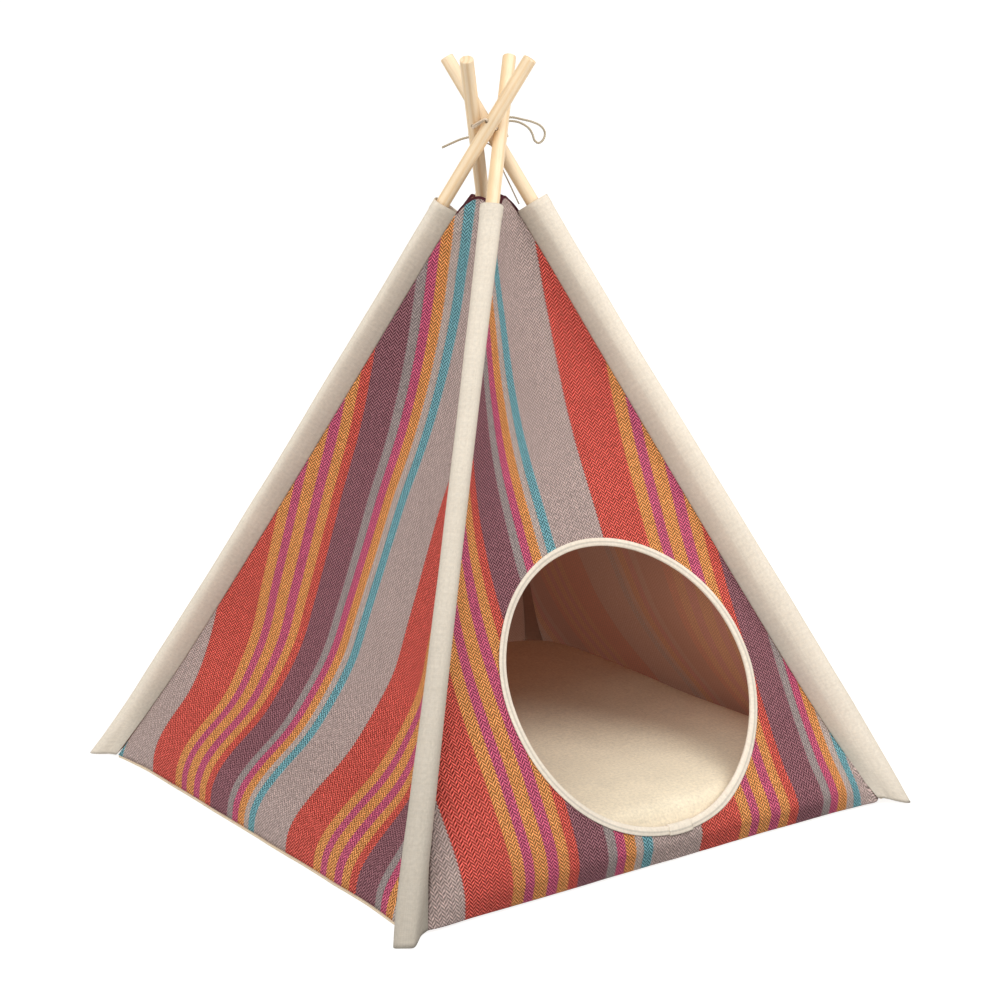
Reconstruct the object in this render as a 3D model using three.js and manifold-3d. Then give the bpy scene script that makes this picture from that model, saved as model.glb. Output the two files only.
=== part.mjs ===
// A cat teepee: four dowels threaded together where they cross, four striped cloth walls hung between
// canvas pole sleeves, a canvas floor sheet, a round door with a bound edge and a loose filled pad.
// Millimetres, +Z up, the floor at Z 0 under the middle of the base, the door wall facing -Y.
import * as THREE from 'three';
import { mergeVertices } from 'three/addons/utils/BufferGeometryUtils.js';
import Module from 'manifold-3d';

const { lerp, degToRad } = THREE.MathUtils;

// Poles: the side of the square that they stand on, where they cross and how far each passes the middle
const SIDE = 600;
const CROSSING_HEIGHT = 685;
const CROSSING_OFFSET = 13.1;
const POLE_DIAMETER = 14;
const POLE_SIDES = 16;
const POLE_FOOT = 5.7;
const POLE_TOP = 758;
const HOLE_DIAMETER = 4.6;
const HOLE_SIDES = 12;

// Cloth: the walls' thickness is measured level. A wall sags across its width like any sheet hung from two
// edges, but the hem power, which fades out upwards, keeps its hem straight almost up to the sleeves.
const CLOTH = 2.2;
const CANVAS = 1.6;
const FLOOR_THICKNESS = 2.6;
const FLOOR_PROUD = { front: 5, right: 2, back: 2, left: 1.5 };
const FLOOR_CORNER_CLEAR = 0.5;
const GAP = 0.35;
const HEM_HEIGHT = FLOOR_THICKNESS + 0.3;
const SAG_POWER = 2;
const HEM_POWER = 8;
const HEM_POWER_FADE = 90;
const TOP_ARCH = 17;
const TOP_ARCH_START = 500;
const WALL_COLUMNS = 14;
const WALL_TOP_STEPS = 4;
const NOSE_STEPS = 8;
const FLANK_SHARE = 0.42;

// Door: an opening cut nearly round in a leaning wall, so its level height is less than its width
const DOOR_HALF_WIDTH = 147.3;
const DOOR_HALF_HEIGHT = 122.8;
const DOOR_ACROSS = 16.7;
const DOOR_HEIGHT = 159.8;
const DOOR_COLLAR = 10;
const SPOKE_SHARES = [0, 0.09, 0.2, 0.34, 0.5, 0.67, 0.84, 1];
const WALL_SLOPE = Math.cos(Math.atan2(SIDE / 2, CROSSING_HEIGHT));
const BINDING_WIDTH = 6.8;
const BINDING_THICKNESS = 1.1;
const BINDING_CLEAR = 0.3;

// Pad
const PAD_HALF_X = 279;
const PAD_HALF_Y = 289;
const PAD_MIDDLE_X = 5;
const PAD_MIDDLE_Y = -7;
const PAD_SQUARENESS = 9;
const PAD_DRAW_IN = 0.014;
const PAD_POINTS = 48;

// Tie: doubled twine through the poles, single twine in its loop and tail, and a thinner strand
const RING_DIAMETER = 3.6;
const CORD_DIAMETER = 2.6;
const THIN_CORD_DIAMETER = 1.6;
const CORD_SIDES = 8;
const CORD_STEP = 2;
const RING_STEPS = 60;
const KNOT_OUT = 26;
const KNOT_HEIGHT = 683;
const KNOT_RADIUS = 3.4;
const KNOT_STEPS = 36;

const WELD = 1e-4;

// The four corners counter-clockwise from above: how far the pole's foot stands sideways of the corner, how
// loosely its sleeve hangs past the pole, and how far off the sleeve's middle the wall that ends there is
// sewn at most, which is little where that wall is tucked in behind the sleeve.
const CORNERS = [
  { name: 'front_left', x: -1, y: -1, footShift: 3, noseSlack: 0, girthScale: 1.03, tuck: 4 },
  { name: 'front_right', x: 1, y: -1, footShift: 0, noseSlack: 7, girthScale: 0.98, tuck: 20 },
  { name: 'back_right', x: 1, y: 1, footShift: 12, noseSlack: 3, girthScale: 1, tuck: 20 },
  { name: 'back_left', x: -1, y: 1, footShift: 0, noseSlack: 0, girthScale: 1, tuck: 20 },
];

// The hole through each pole: its rise above the crossing, its level heading and its fall in degrees, how far
// the twine runs straight before and after the pole's axis, and how far it then bows on its way to the next.
const HOLES = {
  front_left: { rise: 0, heading: 12, fall: 27, before: 8, after: 10, bow: 2.5 },
  front_right: { rise: 8, heading: 150, fall: 20, before: 10, after: 10, bow: 0 },
  back_right: { rise: 8, heading: 228, fall: 16, before: 10, after: 10, bow: 1.5 },
  back_left: { rise: 8, heading: 17, fall: 32, before: 10, after: 8, bow: 0 },
};

// Sleeve sections up the pole. Level 1 is a section cut level with the floor and 0 one cut square to the
// pole. Nose is the reach outside the pole's axis, girth the half width beside it, tail the reach inside it
// to the wall seams and half the half width there. Slack is the share of a corner's loose cloth.
const SLEEVE_SECTIONS = [
  { height: 0, level: 1, nose: 19.5, girth: 11.8, tail: 9.4, half: 15, slack: 0 },
  { height: 25, level: 0.8, nose: 17, girth: 12.2, tail: 10.8, half: 13, slack: 0.5 },
  { height: 60, level: 0.5, nose: 14.5, girth: 12, tail: 13, half: 9.5, slack: 0.9 },
  { height: 120, level: 0.2, nose: 12.6, girth: 11.3, tail: 16.5, half: 6.8, slack: 1.2 },
  { height: 220, level: 0, nose: 10.5, girth: 10.2, tail: 18, half: 5, slack: 1.4 },
  { height: 330, level: 0, nose: 9.2, girth: 9.7, tail: 18.5, half: 4.5, slack: 1.4 },
  { height: 450, level: 0, nose: 9.2, girth: 9.8, tail: 18, half: 4.5, slack: 1.1 },
  { height: 560, level: 0, nose: 9.2, girth: 10.4, tail: 17, half: 4.5, slack: 1 },
  { height: 614, level: 0, nose: 9.4, girth: 11, tail: 17, half: 4.5, slack: 1 },
];

// How far the middle of each wall stands outside the line between its two seams, by height.
const WALL_SAG = [
  { height: 3, front: -2, right: -12, back: -14, left: -6 },
  { height: 13, front: 6, right: 0, back: -3, left: -2 },
  { height: 24, front: 14, right: 9, back: 3, left: 1 },
  { height: 40, front: 18, right: 10, back: 4, left: 0 },
  { height: 57, front: 18, right: 5, back: 0, left: -8 },
  { height: 85, front: 17, right: -5, back: -10, left: -28 },
  { height: 113, front: 16, right: -14, back: -18, left: -39 },
  { height: 160, front: 10, right: -25, back: -27, left: -49 },
  { height: 210, front: -3, right: -29, back: -31, left: -46 },
  { height: 265, front: -17, right: -31, back: -33, left: -43 },
  { height: 320, front: -24, right: -31, back: -33, left: -41 },
  { height: 380, front: -30, right: -29, back: -31, left: -42 },
  { height: 441, front: -28, right: -26, back: -27, left: -37 },
  { height: 500, front: -20, right: -19, back: -20, left: -29 },
  { height: 551, front: -13, right: -10, back: -11, left: -18 },
  { height: 605, front: -3, right: -3, back: -3, left: -4 },
];

// How much further in a wall's cloth hangs towards its end than towards its start, by height.
const WALL_LEAN = [
  { height: 3, front: -3, right: 0, back: 0, left: 1 },
  { height: 24, front: -3, right: 0, back: 0, left: -1 },
  { height: 57, front: -13, right: 2, back: -2, left: -8 },
  { height: 113, front: -12, right: 4, back: -4, left: -12 },
  { height: 185, front: -3, right: 5, back: -5, left: -16 },
  { height: 320, front: -3, right: 5, back: -5, left: -12 },
  { height: 500, front: -8, right: 3, back: -3, left: -13 },
  { height: 605, front: 0, right: 0, back: 0, left: 0 },
];

// Pad rings from the underside over the side to the crown.
const PAD_SECTIONS = [
  { height: HEM_HEIGHT, inset: 24 },
  { height: 8, inset: 9 },
  { height: 15, inset: 2 },
  { height: 23, inset: 0 },
  { height: 32, inset: 3 },
  { height: 41, inset: 9 },
  { height: 48, inset: 14 },
  { height: 53, inset: 25 },
  { height: 57, inset: 56 },
  { height: 60, inset: 130 },
  { height: 61.5, inset: 210 },
];

// The twine's free end and its thinner strand, from the knot.
const TAIL_ROUTE = [
  { x: -3, y: 28.9, z: 678.2 },
  { x: -10, y: 33.4, z: 676 },
  { x: -19, y: 36.3, z: 672.4 },
  { x: -29.1, y: 39.5, z: 668 },
];
const HANGER_ROUTE = [
  { x: 3.2, y: 23.6, z: 679.4 },
  { x: 8.5, y: 19.5, z: 673.5 },
  { x: 13.6, y: 14.2, z: 670 },
  { x: 19, y: 10.5, z: 660 },
  { x: 23, y: 7, z: 646 },
  { x: 26, y: 1.5, z: 634.5 },
  { x: 28.7, y: -3.5, z: 624 },
  { x: 32.3, y: -9, z: 611.4 },
];

// The loop from the knot and back to it: along is level and away from the knot, aside level and across that.
const LOOP_HEADING = degToRad(-20);
const LOOP_ROUTE = [
  { along: 6, up: 2.6, aside: 1.7 },
  { along: 18, up: 8.6, aside: 1.7 },
  { along: 30, up: 13, aside: 1.7 },
  { along: 41, up: 14.2, aside: 1.7 },
  { along: 52, up: 12, aside: 1.5 },
  { along: 63, up: 9.2, aside: 1.1 },
  { along: 72, up: 4.6, aside: 0.7 },
  { along: 75.8, up: -1.7, aside: 0.3 },
  { along: 74, up: -8.6, aside: -0.1 },
  { along: 69, up: -12, aside: -0.5 },
  { along: 64.6, up: -9.4, aside: -0.8 },
  { along: 62.4, up: -3.6, aside: -1.1 },
  { along: 59, up: 2.2, aside: -1.4 },
  { along: 53.4, up: 6.6, aside: -1.6 },
  { along: 45, up: 10, aside: -1.7 },
  { along: 32, up: 10.4, aside: -1.7 },
  { along: 18, up: 5.6, aside: -1.7 },
  { along: 6, up: -0.6, aside: -1.7 },
];

const UP = new THREE.Vector3(0, 0, 1);

const wasm = await Module();
wasm.setup();

// The value of a table's column at a height, in a smooth line through the rows and straight on past the ends.
function column(table, key, height) {
  let upper = 1;
  while (upper < table.length - 1 && table[upper].height < height) {
    upper += 1;
  }
  const slope = (row) => {
    const low = table[Math.max(row - 1, 0)];
    const high = table[Math.min(row + 1, table.length - 1)];
    return (high[key] - low[key]) / (high.height - low.height);
  };
  const [below, above] = [table[upper - 1], table[upper]];
  const span = above.height - below.height;
  const share = (height - below.height) / span;
  if (share < 0 || share > 1) {
    return lerp(below[key], above[key], share);
  }
  const chord = (above[key] - below[key]) / span;
  const bend = (1 - share) * slope(upper - 1) - share * slope(upper) + (2 * share - 1) * chord;
  return lerp(below[key], above[key], share) + share * (1 - share) * span * bend;
}

function signedVolume(points, triangles) {
  let sum = 0;
  for (let i = 0; i < triangles.length; i += 3) {
    const [a, b, c] = [points[triangles[i]], points[triangles[i + 1]], points[triangles[i + 2]]];
    sum += a.dot(b.clone().cross(c));
  }
  return sum;
}

// A closed skin through rings of equal, even counts. The first and last ring are zipped shut or, where
// joined, run into each other.
function loft(rings, joined = false) {
  const count = rings[0].length;
  const points = rings.flat();
  const triangles = [];
  const quad = (a, b, c, d) => triangles.push(a, b, c, a, c, d);
  const spans = joined ? rings.length : rings.length - 1;
  for (let ring = 0; ring < spans; ring += 1) {
    const low = ring * count;
    const high = ((ring + 1) % rings.length) * count;
    for (let i = 0; i < count; i += 1) {
      const next = (i + 1) % count;
      quad(low + i, low + next, high + next, high + i);
    }
  }
  if (!joined) {
    const last = (rings.length - 1) * count;
    for (let i = 0; i < count / 2 - 1; i += 1) {
      quad(count - 1 - i, count - 2 - i, i + 1, i);
      quad(last + i, last + i + 1, last + count - 2 - i, last + count - 1 - i);
    }
  }
  if (signedVolume(points, triangles) < 0) {
    triangles.reverse();
  }
  const geometry = new THREE.BufferGeometry().setFromPoints(points);
  geometry.setIndex(triangles);
  return geometry;
}

function welded(geometry) {
  geometry.deleteAttribute('normal');
  geometry.deleteAttribute('uv');
  return mergeVertices(geometry, WELD);
}

function toManifold(geometry) {
  const shape = welded(geometry);
  return new wasm.Manifold(new wasm.Mesh({
    numProp: 3,
    vertProperties: Float32Array.from(shape.attributes.position.array),
    triVerts: Uint32Array.from(shape.index.array),
  }));
}

function fromManifold(manifold) {
  const mesh = manifold.getMesh();
  const geometry = new THREE.BufferGeometry();
  geometry.setAttribute('position', new THREE.BufferAttribute(Float32Array.from(mesh.vertProperties), 3));
  geometry.setIndex(Array.from(mesh.triVerts));
  return geometry;
}

const group = new THREE.Group();
group.name = 'cat_teepee';

function addNode(name, geometry, colour) {
  const mesh = new THREE.Mesh(geometry, new THREE.MeshStandardMaterial({ color: colour, roughness: 0.9 }));
  mesh.name = name;
  group.add(mesh);
}

// Poles: each leans from its corner past the centre line, offset to one side so that the four pass each
// other. out and side are the directions across it, away from the centre line and counter-clockwise.
const poles = CORNERS.map((corner) => {
  const radial = new THREE.Vector3(corner.x, corner.y, 0).normalize();
  const round = UP.clone().cross(radial);
  const foot = radial.clone().multiplyScalar(SIDE / Math.SQRT2).addScaledVector(round, corner.footShift);
  const waist = round.clone().multiplyScalar(CROSSING_OFFSET).setZ(CROSSING_HEIGHT);
  const axis = waist.clone().sub(foot).normalize();
  const out = radial.clone().addScaledVector(axis, -radial.dot(axis)).normalize();
  const side = axis.clone().cross(out);
  const at = (height) => foot.clone().lerp(waist, height / CROSSING_HEIGHT);
  const hole = HOLES[corner.name];
  const bore = new THREE.Vector3(1, 0, 0).applyAxisAngle(UP, degToRad(hole.heading));
  bore.multiplyScalar(Math.cos(degToRad(hole.fall))).setZ(-Math.sin(degToRad(hole.fall)));
  const inHole = (reach) => at(CROSSING_HEIGHT + hole.rise).addScaledVector(bore, reach);
  return { ...corner, axis, out, side, at, hole, inHole };
});

function cylinderBetween(from, to, radius, sides) {
  const span = to.clone().sub(from);
  const geometry = new THREE.CylinderGeometry(radius, radius, span.length(), sides);
  const upright = new THREE.Vector3(0, 1, 0);
  geometry.applyQuaternion(new THREE.Quaternion().setFromUnitVectors(upright, span.normalize()));
  const middle = from.clone().lerp(to, 0.5);
  return geometry.translate(middle.x, middle.y, middle.z);
}

for (const pole of poles) {
  const dowel = cylinderBetween(pole.at(POLE_FOOT), pole.at(POLE_TOP), POLE_DIAMETER / 2, POLE_SIDES);
  const ends = [pole.inHole(-POLE_DIAMETER), pole.inHole(POLE_DIAMETER)];
  const hole = cylinderBetween(...ends, HOLE_DIAMETER / 2, HOLE_SIDES);
  addNode(`pole_${pole.name}`, fromManifold(toManifold(dowel).subtract(toManifold(hole))), 0xe8c691);
}

// Sleeves: a drop-shaped tube round each pole, its nose outside and its tail on the wall seams, one skin
// from the sewn foot up the outside, over the open rim and down the inside to just above the foot.
function sleevePoint(pole, section, across, along) {
  const step = pole.out.clone().multiplyScalar(across).addScaledVector(pole.side, along);
  step.addScaledVector(pole.axis, -section.level * step.z / pole.axis.z);
  return step.add(pole.at(section.height));
}

function sleeveRing(pole, section, inset) {
  const nose = section.nose + pole.noseSlack * section.slack - inset;
  const girth = section.girth * pole.girthScale - inset;
  const tail = section.tail - inset;
  const half = section.half - inset;
  const flank = lerp(girth, half, FLANK_SHARE);
  const outline = [];
  for (let step = 0; step <= NOSE_STEPS; step += 1) {
    const angle = Math.PI * (step / NOSE_STEPS - 0.5);
    outline.push([nose * Math.cos(angle), girth * Math.sin(angle)]);
  }
  outline.push([-tail / 2, flank], [-tail, half], [-tail, 0], [-tail, -half], [-tail / 2, -flank]);
  return outline.map(([across, along]) => sleevePoint(pole, section, across, along));
}

for (const pole of poles) {
  const outside = SLEEVE_SECTIONS.map((section) => sleeveRing(pole, section, 0));
  const cavity = SLEEVE_SECTIONS.slice(1).map((section) => sleeveRing(pole, section, CANVAS));
  const foot = { ...SLEEVE_SECTIONS[0], height: CANVAS };
  cavity.unshift(sleeveRing(pole, foot, CANVAS));
  addNode(`sleeve_${pole.name}`, loft([...outside, ...cavity.reverse()]), 0xe9dcc8);
  pole.seamNext = SLEEVE_SECTIONS.map((row) => sleevePoint(pole, row, -row.tail, row.half));
  pole.seamLast = SLEEVE_SECTIONS.map((row) => (
    sleevePoint(pole, row, -row.tail, -Math.min(row.half, pole.tuck))
  ));
}

// A point of a seam line at a height.
function seamAt(seam, height) {
  let upper = 1;
  while (upper < seam.length - 1 && seam[upper].z < height) {
    upper += 1;
  }
  const below = seam[upper - 1];
  const above = seam[upper];
  return below.clone().lerp(above, (height - below.z) / (above.z - below.z));
}

// Walls: each hangs from the seam of one pole to that of the next, counter-clockwise. along runs level from
// seam to seam and out is level and away from the middle.
const walls = ['front', 'right', 'back', 'left'].map((name, index) => {
  const from = poles[index];
  const to = poles[(index + 1) % poles.length];
  const out = new THREE.Vector3(from.x + to.x, from.y + to.y, 0).normalize();
  const along = UP.clone().cross(out);
  const edges = (height) => [seamAt(from.seamNext, height), seamAt(to.seamLast, height)];
  return { name, out, along, edges };
});

// Rows up a wall: the heights of the sleeve sections at the seam, with one more between each two.
const seamHeights = poles[0].seamNext.map((point) => point.z);
seamHeights[0] = HEM_HEIGHT;
const rowHeights = [HEM_HEIGHT];
for (let i = 1; i < seamHeights.length; i += 1) {
  rowHeights.push(lerp(seamHeights[i - 1], seamHeights[i], 0.5), seamHeights[i]);
}
const topEdge = seamHeights.at(-1);

// How far a row's points rise above its ends, so that the top edge arches between the sleeves.
function archAt(share, row) {
  const rise = Math.max(0, (row - TOP_ARCH_START) / (topEdge - TOP_ARCH_START));
  return TOP_ARCH * rise * (1 - (2 * share - 1) ** 2);
}

// The outer face at a level place along a wall and a height, or a face some depth behind it.
function wallPoint(wall, place, height, depth = 0) {
  const [start, end] = wall.edges(height);
  const first = start.dot(wall.along) + GAP;
  const last = end.dot(wall.along) - GAP;
  const share = (place - first) / (last - first);
  const power = SAG_POWER + HEM_POWER * Math.exp(-height / HEM_POWER_FADE);
  const fullness = 1 - Math.abs(2 * share - 1) ** power;
  const lean = column(WALL_LEAN, wall.name, height) * (2 * share - 1);
  const sag = (column(WALL_SAG, wall.name, height) + lean) * fullness;
  const outward = lerp(start.dot(wall.out), end.dot(wall.out), share) + sag;
  return wall.along.clone().multiplyScalar(place).addScaledVector(wall.out, outward - depth).setZ(height);
}

function wallPlace(wall, share, height) {
  const [start, end] = wall.edges(height);
  return lerp(start.dot(wall.along) + GAP, end.dot(wall.along) - GAP, share);
}

function plainWall(wall) {
  return loft(rowHeights.map((row) => {
    const faces = [0, CLOTH].map((depth) => {
      const line = [];
      for (let step = 0; step <= WALL_COLUMNS; step += 1) {
        const share = step / WALL_COLUMNS;
        const height = row + archAt(share, row);
        line.push(wallPoint(wall, wallPlace(wall, share, height), height, depth));
      }
      return line;
    });
    return [...faces[0], ...faces[1].reverse()];
  }));
}

for (const wall of walls.slice(1)) {
  addNode(`wall_${wall.name}`, plainWall(wall), 0xa04a50);
}

// The door wall: spokes from the opening to the wall's own edge, so that its rim and the binding share them.
const doorWall = walls[0];
const rim = [];
for (let step = 0; step < WALL_COLUMNS; step += 1) {
  rim.push({ share: step / WALL_COLUMNS, row: HEM_HEIGHT });
}
for (let row = 0; row < rowHeights.length - 1; row += 1) {
  rim.push({ share: 1, row: rowHeights[row] });
}
for (let step = 0; step < WALL_TOP_STEPS; step += 1) {
  rim.push({ share: 1 - step / WALL_TOP_STEPS, row: topEdge });
}
for (let row = rowHeights.length - 1; row > 0; row -= 1) {
  rim.push({ share: 0, row: rowHeights[row] });
}

const spokes = rim.map(({ share, row }, index) => {
  const angle = -Math.PI / 2 + 2 * Math.PI * (index - WALL_COLUMNS / 2) / rim.length;
  const onDoor = (reach) => {
    const rise = (DOOR_HALF_HEIGHT + reach * WALL_SLOPE) * Math.sin(angle);
    const place = DOOR_ACROSS + (DOOR_HALF_WIDTH + reach) * Math.cos(angle);
    return { place, height: DOOR_HEIGHT + rise };
  };
  const height = row + archAt(share, row);
  return { onDoor, edge: { place: wallPlace(doorWall, share, height), height } };
});

function doorFace(depth) {
  const rings = [spokes.map(({ onDoor }) => onDoor(0))];
  for (const share of SPOKE_SHARES) {
    rings.push(spokes.map(({ onDoor, edge }) => {
      const collar = onDoor(DOOR_COLLAR);
      const place = lerp(collar.place, edge.place, share);
      return { place, height: lerp(collar.height, edge.height, share) };
    }));
  }
  return rings.map((ring) => ring.map(({ place, height }) => wallPoint(doorWall, place, height, depth)));
}

addNode('wall_front', loft([...doorFace(0), ...doorFace(CLOTH).reverse()], true), 0xa04a50);

// Door binding: a folded strip over the cut edge, a leaf on each face of the wall.
const slot = BINDING_CLEAR;
const leaf = BINDING_CLEAR + BINDING_THICKNESS;
const bindingProfile = [
  { reach: -leaf, stand: -CLOTH - leaf * 0.4 },
  { reach: -leaf * 0.7, stand: -CLOTH - leaf },
  { reach: BINDING_WIDTH - 1, stand: -CLOTH - leaf },
  { reach: BINDING_WIDTH, stand: -CLOTH - leaf * 0.7 },
  { reach: BINDING_WIDTH, stand: -CLOTH - slot },
  { reach: -slot, stand: -CLOTH - slot },
  { reach: -slot, stand: slot },
  { reach: BINDING_WIDTH, stand: slot },
  { reach: BINDING_WIDTH, stand: leaf * 0.7 },
  { reach: BINDING_WIDTH - 1, stand: leaf },
  { reach: -leaf * 0.7, stand: leaf },
  { reach: -leaf, stand: leaf * 0.4 },
];
const bindingRings = spokes.map(({ onDoor }) => {
  const [inner, outer] = [0, DOOR_COLLAR].map((reach) => {
    const { place, height } = onDoor(reach);
    return wallPoint(doorWall, place, height);
  });
  return bindingProfile.map(({ reach, stand }) => (
    inner.clone().lerp(outer, reach / DOOR_COLLAR).addScaledVector(doorWall.out, stand)
  ));
});
addNode('door_binding', loft(bindingRings, true), 0xf3ead8);

// Floor sheet: under the hems, a little proud of them, and stopped short of the sleeves at the corners.
const floorOutline = [];
for (const wall of walls) {
  for (let step = 0; step <= WALL_COLUMNS; step += 1) {
    const share = step / WALL_COLUMNS;
    const point = wallPoint(wall, wallPlace(wall, share, HEM_HEIGHT), HEM_HEIGHT);
    if (step === 0 || step === WALL_COLUMNS) {
      const seam = wall.edges(FLOOR_THICKNESS)[step === 0 ? 0 : 1].setZ(0);
      point.copy(seam.setLength(seam.length() - FLOOR_CORNER_CLEAR));
    } else {
      point.addScaledVector(wall.out, FLOOR_PROUD[wall.name]);
    }
    floorOutline.push(new THREE.Vector2(point.x, point.y));
  }
}
const floorShape = new THREE.Shape(floorOutline);
addNode('floor_sheet', welded(new THREE.ExtrudeGeometry(floorShape, {
  depth: FLOOR_THICKNESS,
  bevelEnabled: false,
})), 0xe6dcc6);

// Pad: a rounded square with drawn-in sides and a low crown.
function padRing({ height, inset }) {
  const ring = [];
  for (let step = 0; step < PAD_POINTS; step += 1) {
    const angle = 2 * Math.PI * (step + 0.5) / PAD_POINTS;
    const [across, along] = [Math.cos(angle), Math.sin(angle)];
    const norm = Math.abs(across) ** PAD_SQUARENESS + Math.abs(along) ** PAD_SQUARENESS;
    const square = norm ** (-1 / PAD_SQUARENESS);
    const drawn = 1 - PAD_DRAW_IN * (0.5 + 0.5 * Math.cos(4 * angle));
    ring.push(new THREE.Vector3(
      PAD_MIDDLE_X + (PAD_HALF_X - inset) * across * square * drawn,
      PAD_MIDDLE_Y + (PAD_HALF_Y - inset) * along * square * drawn,
      height,
    ));
  }
  return ring;
}
addNode('pad', loft(PAD_SECTIONS.map(padRing)), 0xd9c6a5);

// Tie: a ring of twine through the four poles in turn, knotted outside the strand at the back.
const ringPoints = [];
const knotMiddle = new THREE.Vector3(0, KNOT_OUT, KNOT_HEIGHT);
poles.forEach((pole, index) => {
  const { before, after, bow } = pole.hole;
  for (const reach of [-before, -before / 2, after / 2, after]) {
    ringPoints.push(pole.inHole(reach));
  }
  const next = poles[(index + 1) % poles.length];
  const middle = pole.inHole(after).lerp(next.inHole(-next.hole.before), 0.5);
  const outward = middle.clone().setZ(0).normalize();
  if (pole.name === 'front_right') {
    ringPoints.push(knotMiddle);
  } else if (bow > 0) {
    ringPoints.push(middle.addScaledVector(outward, bow));
  }
});
const ringCurve = new THREE.CatmullRomCurve3(ringPoints, true, 'centripetal');
const ringTube = new THREE.TubeGeometry(ringCurve, RING_STEPS, RING_DIAMETER / 2, CORD_SIDES, true);
const knot = new THREE.TorusKnotGeometry(KNOT_RADIUS, CORD_DIAMETER / 2, KNOT_STEPS, CORD_SIDES, 2, 3);
knot.rotateX(Math.PI / 2).translate(knotMiddle.x, knotMiddle.y, knotMiddle.z);
addNode('tie_ring', fromManifold(toManifold(ringTube).add(toManifold(knot))), 0xc9bda6);

// A cord along a smooth line through its points, with a step for every few diameters of its length.
function cord(points, diameter) {
  const route = new THREE.CatmullRomCurve3(points, false, 'centripetal');
  const circle = new THREE.Shape().absarc(0, 0, diameter / 2, 0, 2 * Math.PI);
  return welded(new THREE.ExtrudeGeometry(circle, {
    curveSegments: CORD_SIDES / 2,
    steps: Math.round(route.getLength() / (CORD_STEP * diameter)),
    bevelEnabled: false,
    extrudePath: route,
  }));
}

const toPoint = ({ x, y, z }) => new THREE.Vector3(x, y, z);
addNode('tie_tail', cord(TAIL_ROUTE.map(toPoint), CORD_DIAMETER), 0xc9bda6);
addNode('tie_hanger', cord(HANGER_ROUTE.map(toPoint), THIN_CORD_DIAMETER), 0x8f8575);

const loopAlong = new THREE.Vector3(Math.cos(LOOP_HEADING), Math.sin(LOOP_HEADING), 0);
const loopAside = UP.clone().cross(loopAlong);
const loopPoints = LOOP_ROUTE.map(({ along, up, aside }) => {
  const point = knotMiddle.clone().addScaledVector(loopAlong, along).addScaledVector(loopAside, aside);
  return point.addScaledVector(UP, up);
});
addNode('tie_loop', cord(loopPoints, CORD_DIAMETER), 0xc9bda6);

export default group;
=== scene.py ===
import bisect
import math
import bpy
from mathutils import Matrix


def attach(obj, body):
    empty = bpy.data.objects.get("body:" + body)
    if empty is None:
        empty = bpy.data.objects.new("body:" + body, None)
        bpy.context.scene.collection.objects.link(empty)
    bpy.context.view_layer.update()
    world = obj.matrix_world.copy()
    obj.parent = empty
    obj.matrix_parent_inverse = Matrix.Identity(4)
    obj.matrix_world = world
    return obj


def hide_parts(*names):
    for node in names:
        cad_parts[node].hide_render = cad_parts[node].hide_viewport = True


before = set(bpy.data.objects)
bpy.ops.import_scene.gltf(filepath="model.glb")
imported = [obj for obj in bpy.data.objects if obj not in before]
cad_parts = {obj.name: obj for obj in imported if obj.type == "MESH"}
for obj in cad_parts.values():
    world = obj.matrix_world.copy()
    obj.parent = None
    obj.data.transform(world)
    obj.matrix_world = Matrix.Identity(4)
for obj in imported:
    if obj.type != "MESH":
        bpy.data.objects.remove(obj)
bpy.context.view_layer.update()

from types import SimpleNamespace

import bmesh
import bpy
from mathutils import Matrix, Vector, noise

# Studio: a white glowing floor that runs out of sight under a plain sky, and two broad soft lamps, one near
# in front on the right and one far off on the left. The camera stands where the photograph was taken from, a
# little above the tent's top and left of its door.
EYE = Vector((-1.2891, -1.85603, 0.83154))
SIGHT = Vector((0.55555, 0.79987, -0.2271))
LENS = 79.97
FRAMING_SHIFT = 0.0121
FLOOR_REACH = 600.0
FLOOR_DROP = 0.0004
SKY_STRENGTH = 0.36
LEFT_LAMP_FROM = Vector((-0.85, -0.2, 0.5))
LEFT_LAMP_STRENGTH = 2.1
LEFT_LAMP_SPREAD = math.radians(80)
FRONT_LAMP_PLACE = Vector((0.7, -1.15, 1.4))
FRONT_LAMP_AIM = Vector((0.05, -0.15, 0.3))
FRONT_LAMP_WATTS = 18
FRONT_LAMP_SIDE = 1.1
SKY_COLOUR = (1.0, 0.99, 0.975, 1.0)
FLOOR_COLOUR = (0.36, 0.355, 0.35, 1.0)
FLOOR_GLOW_COLOUR = (1.0, 0.99, 0.98, 1.0)
FLOOR_GLOW = 0.86
# A finish is how rough a surface is and how much it shines.
FLOOR_FINISH = (0.9, 0.1)


def byte_colour(red, green, blue):
    """A colour as a colour picker shows it, 0 to 255, made linear for a shader."""
    parts = [value / 255 for value in (red, green, blue)]
    linear = [part / 12.92 if part <= 0.04045 else ((part + 0.055) / 1.055) ** 2.4 for part in parts]
    return (*linear, 1.0)


def node(tree, kind, *values, named=None, **settings):
    """Add a shader node. Values and links fill its inputs in order, and None leaves one alone."""
    made = tree.nodes.new("ShaderNode" + kind)
    for name, value in settings.items():
        setattr(made, name, value)
    wanted = list(zip(made.inputs, values))
    wanted += [(made.inputs[name], value) for name, value in (named or {}).items()]
    for socket, value in wanted:
        if isinstance(value, bpy.types.NodeSocket):
            tree.links.new(value, socket)
        elif value is not None:
            socket.default_value = value
    return made


def new_material(name, roughness, shine):
    """A material with one Principled BSDF, its tree and that shader."""
    material = bpy.data.materials.new(name)
    material.use_nodes = True
    shader = material.node_tree.nodes["Principled BSDF"]
    shader.inputs["Roughness"].default_value = roughness
    shader.inputs["Specular IOR Level"].default_value = shine
    return material, material.node_tree, shader


def add_object(name, data):
    made = bpy.data.objects.new(name, data)
    bpy.context.scene.collection.objects.link(made)
    return made


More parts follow.
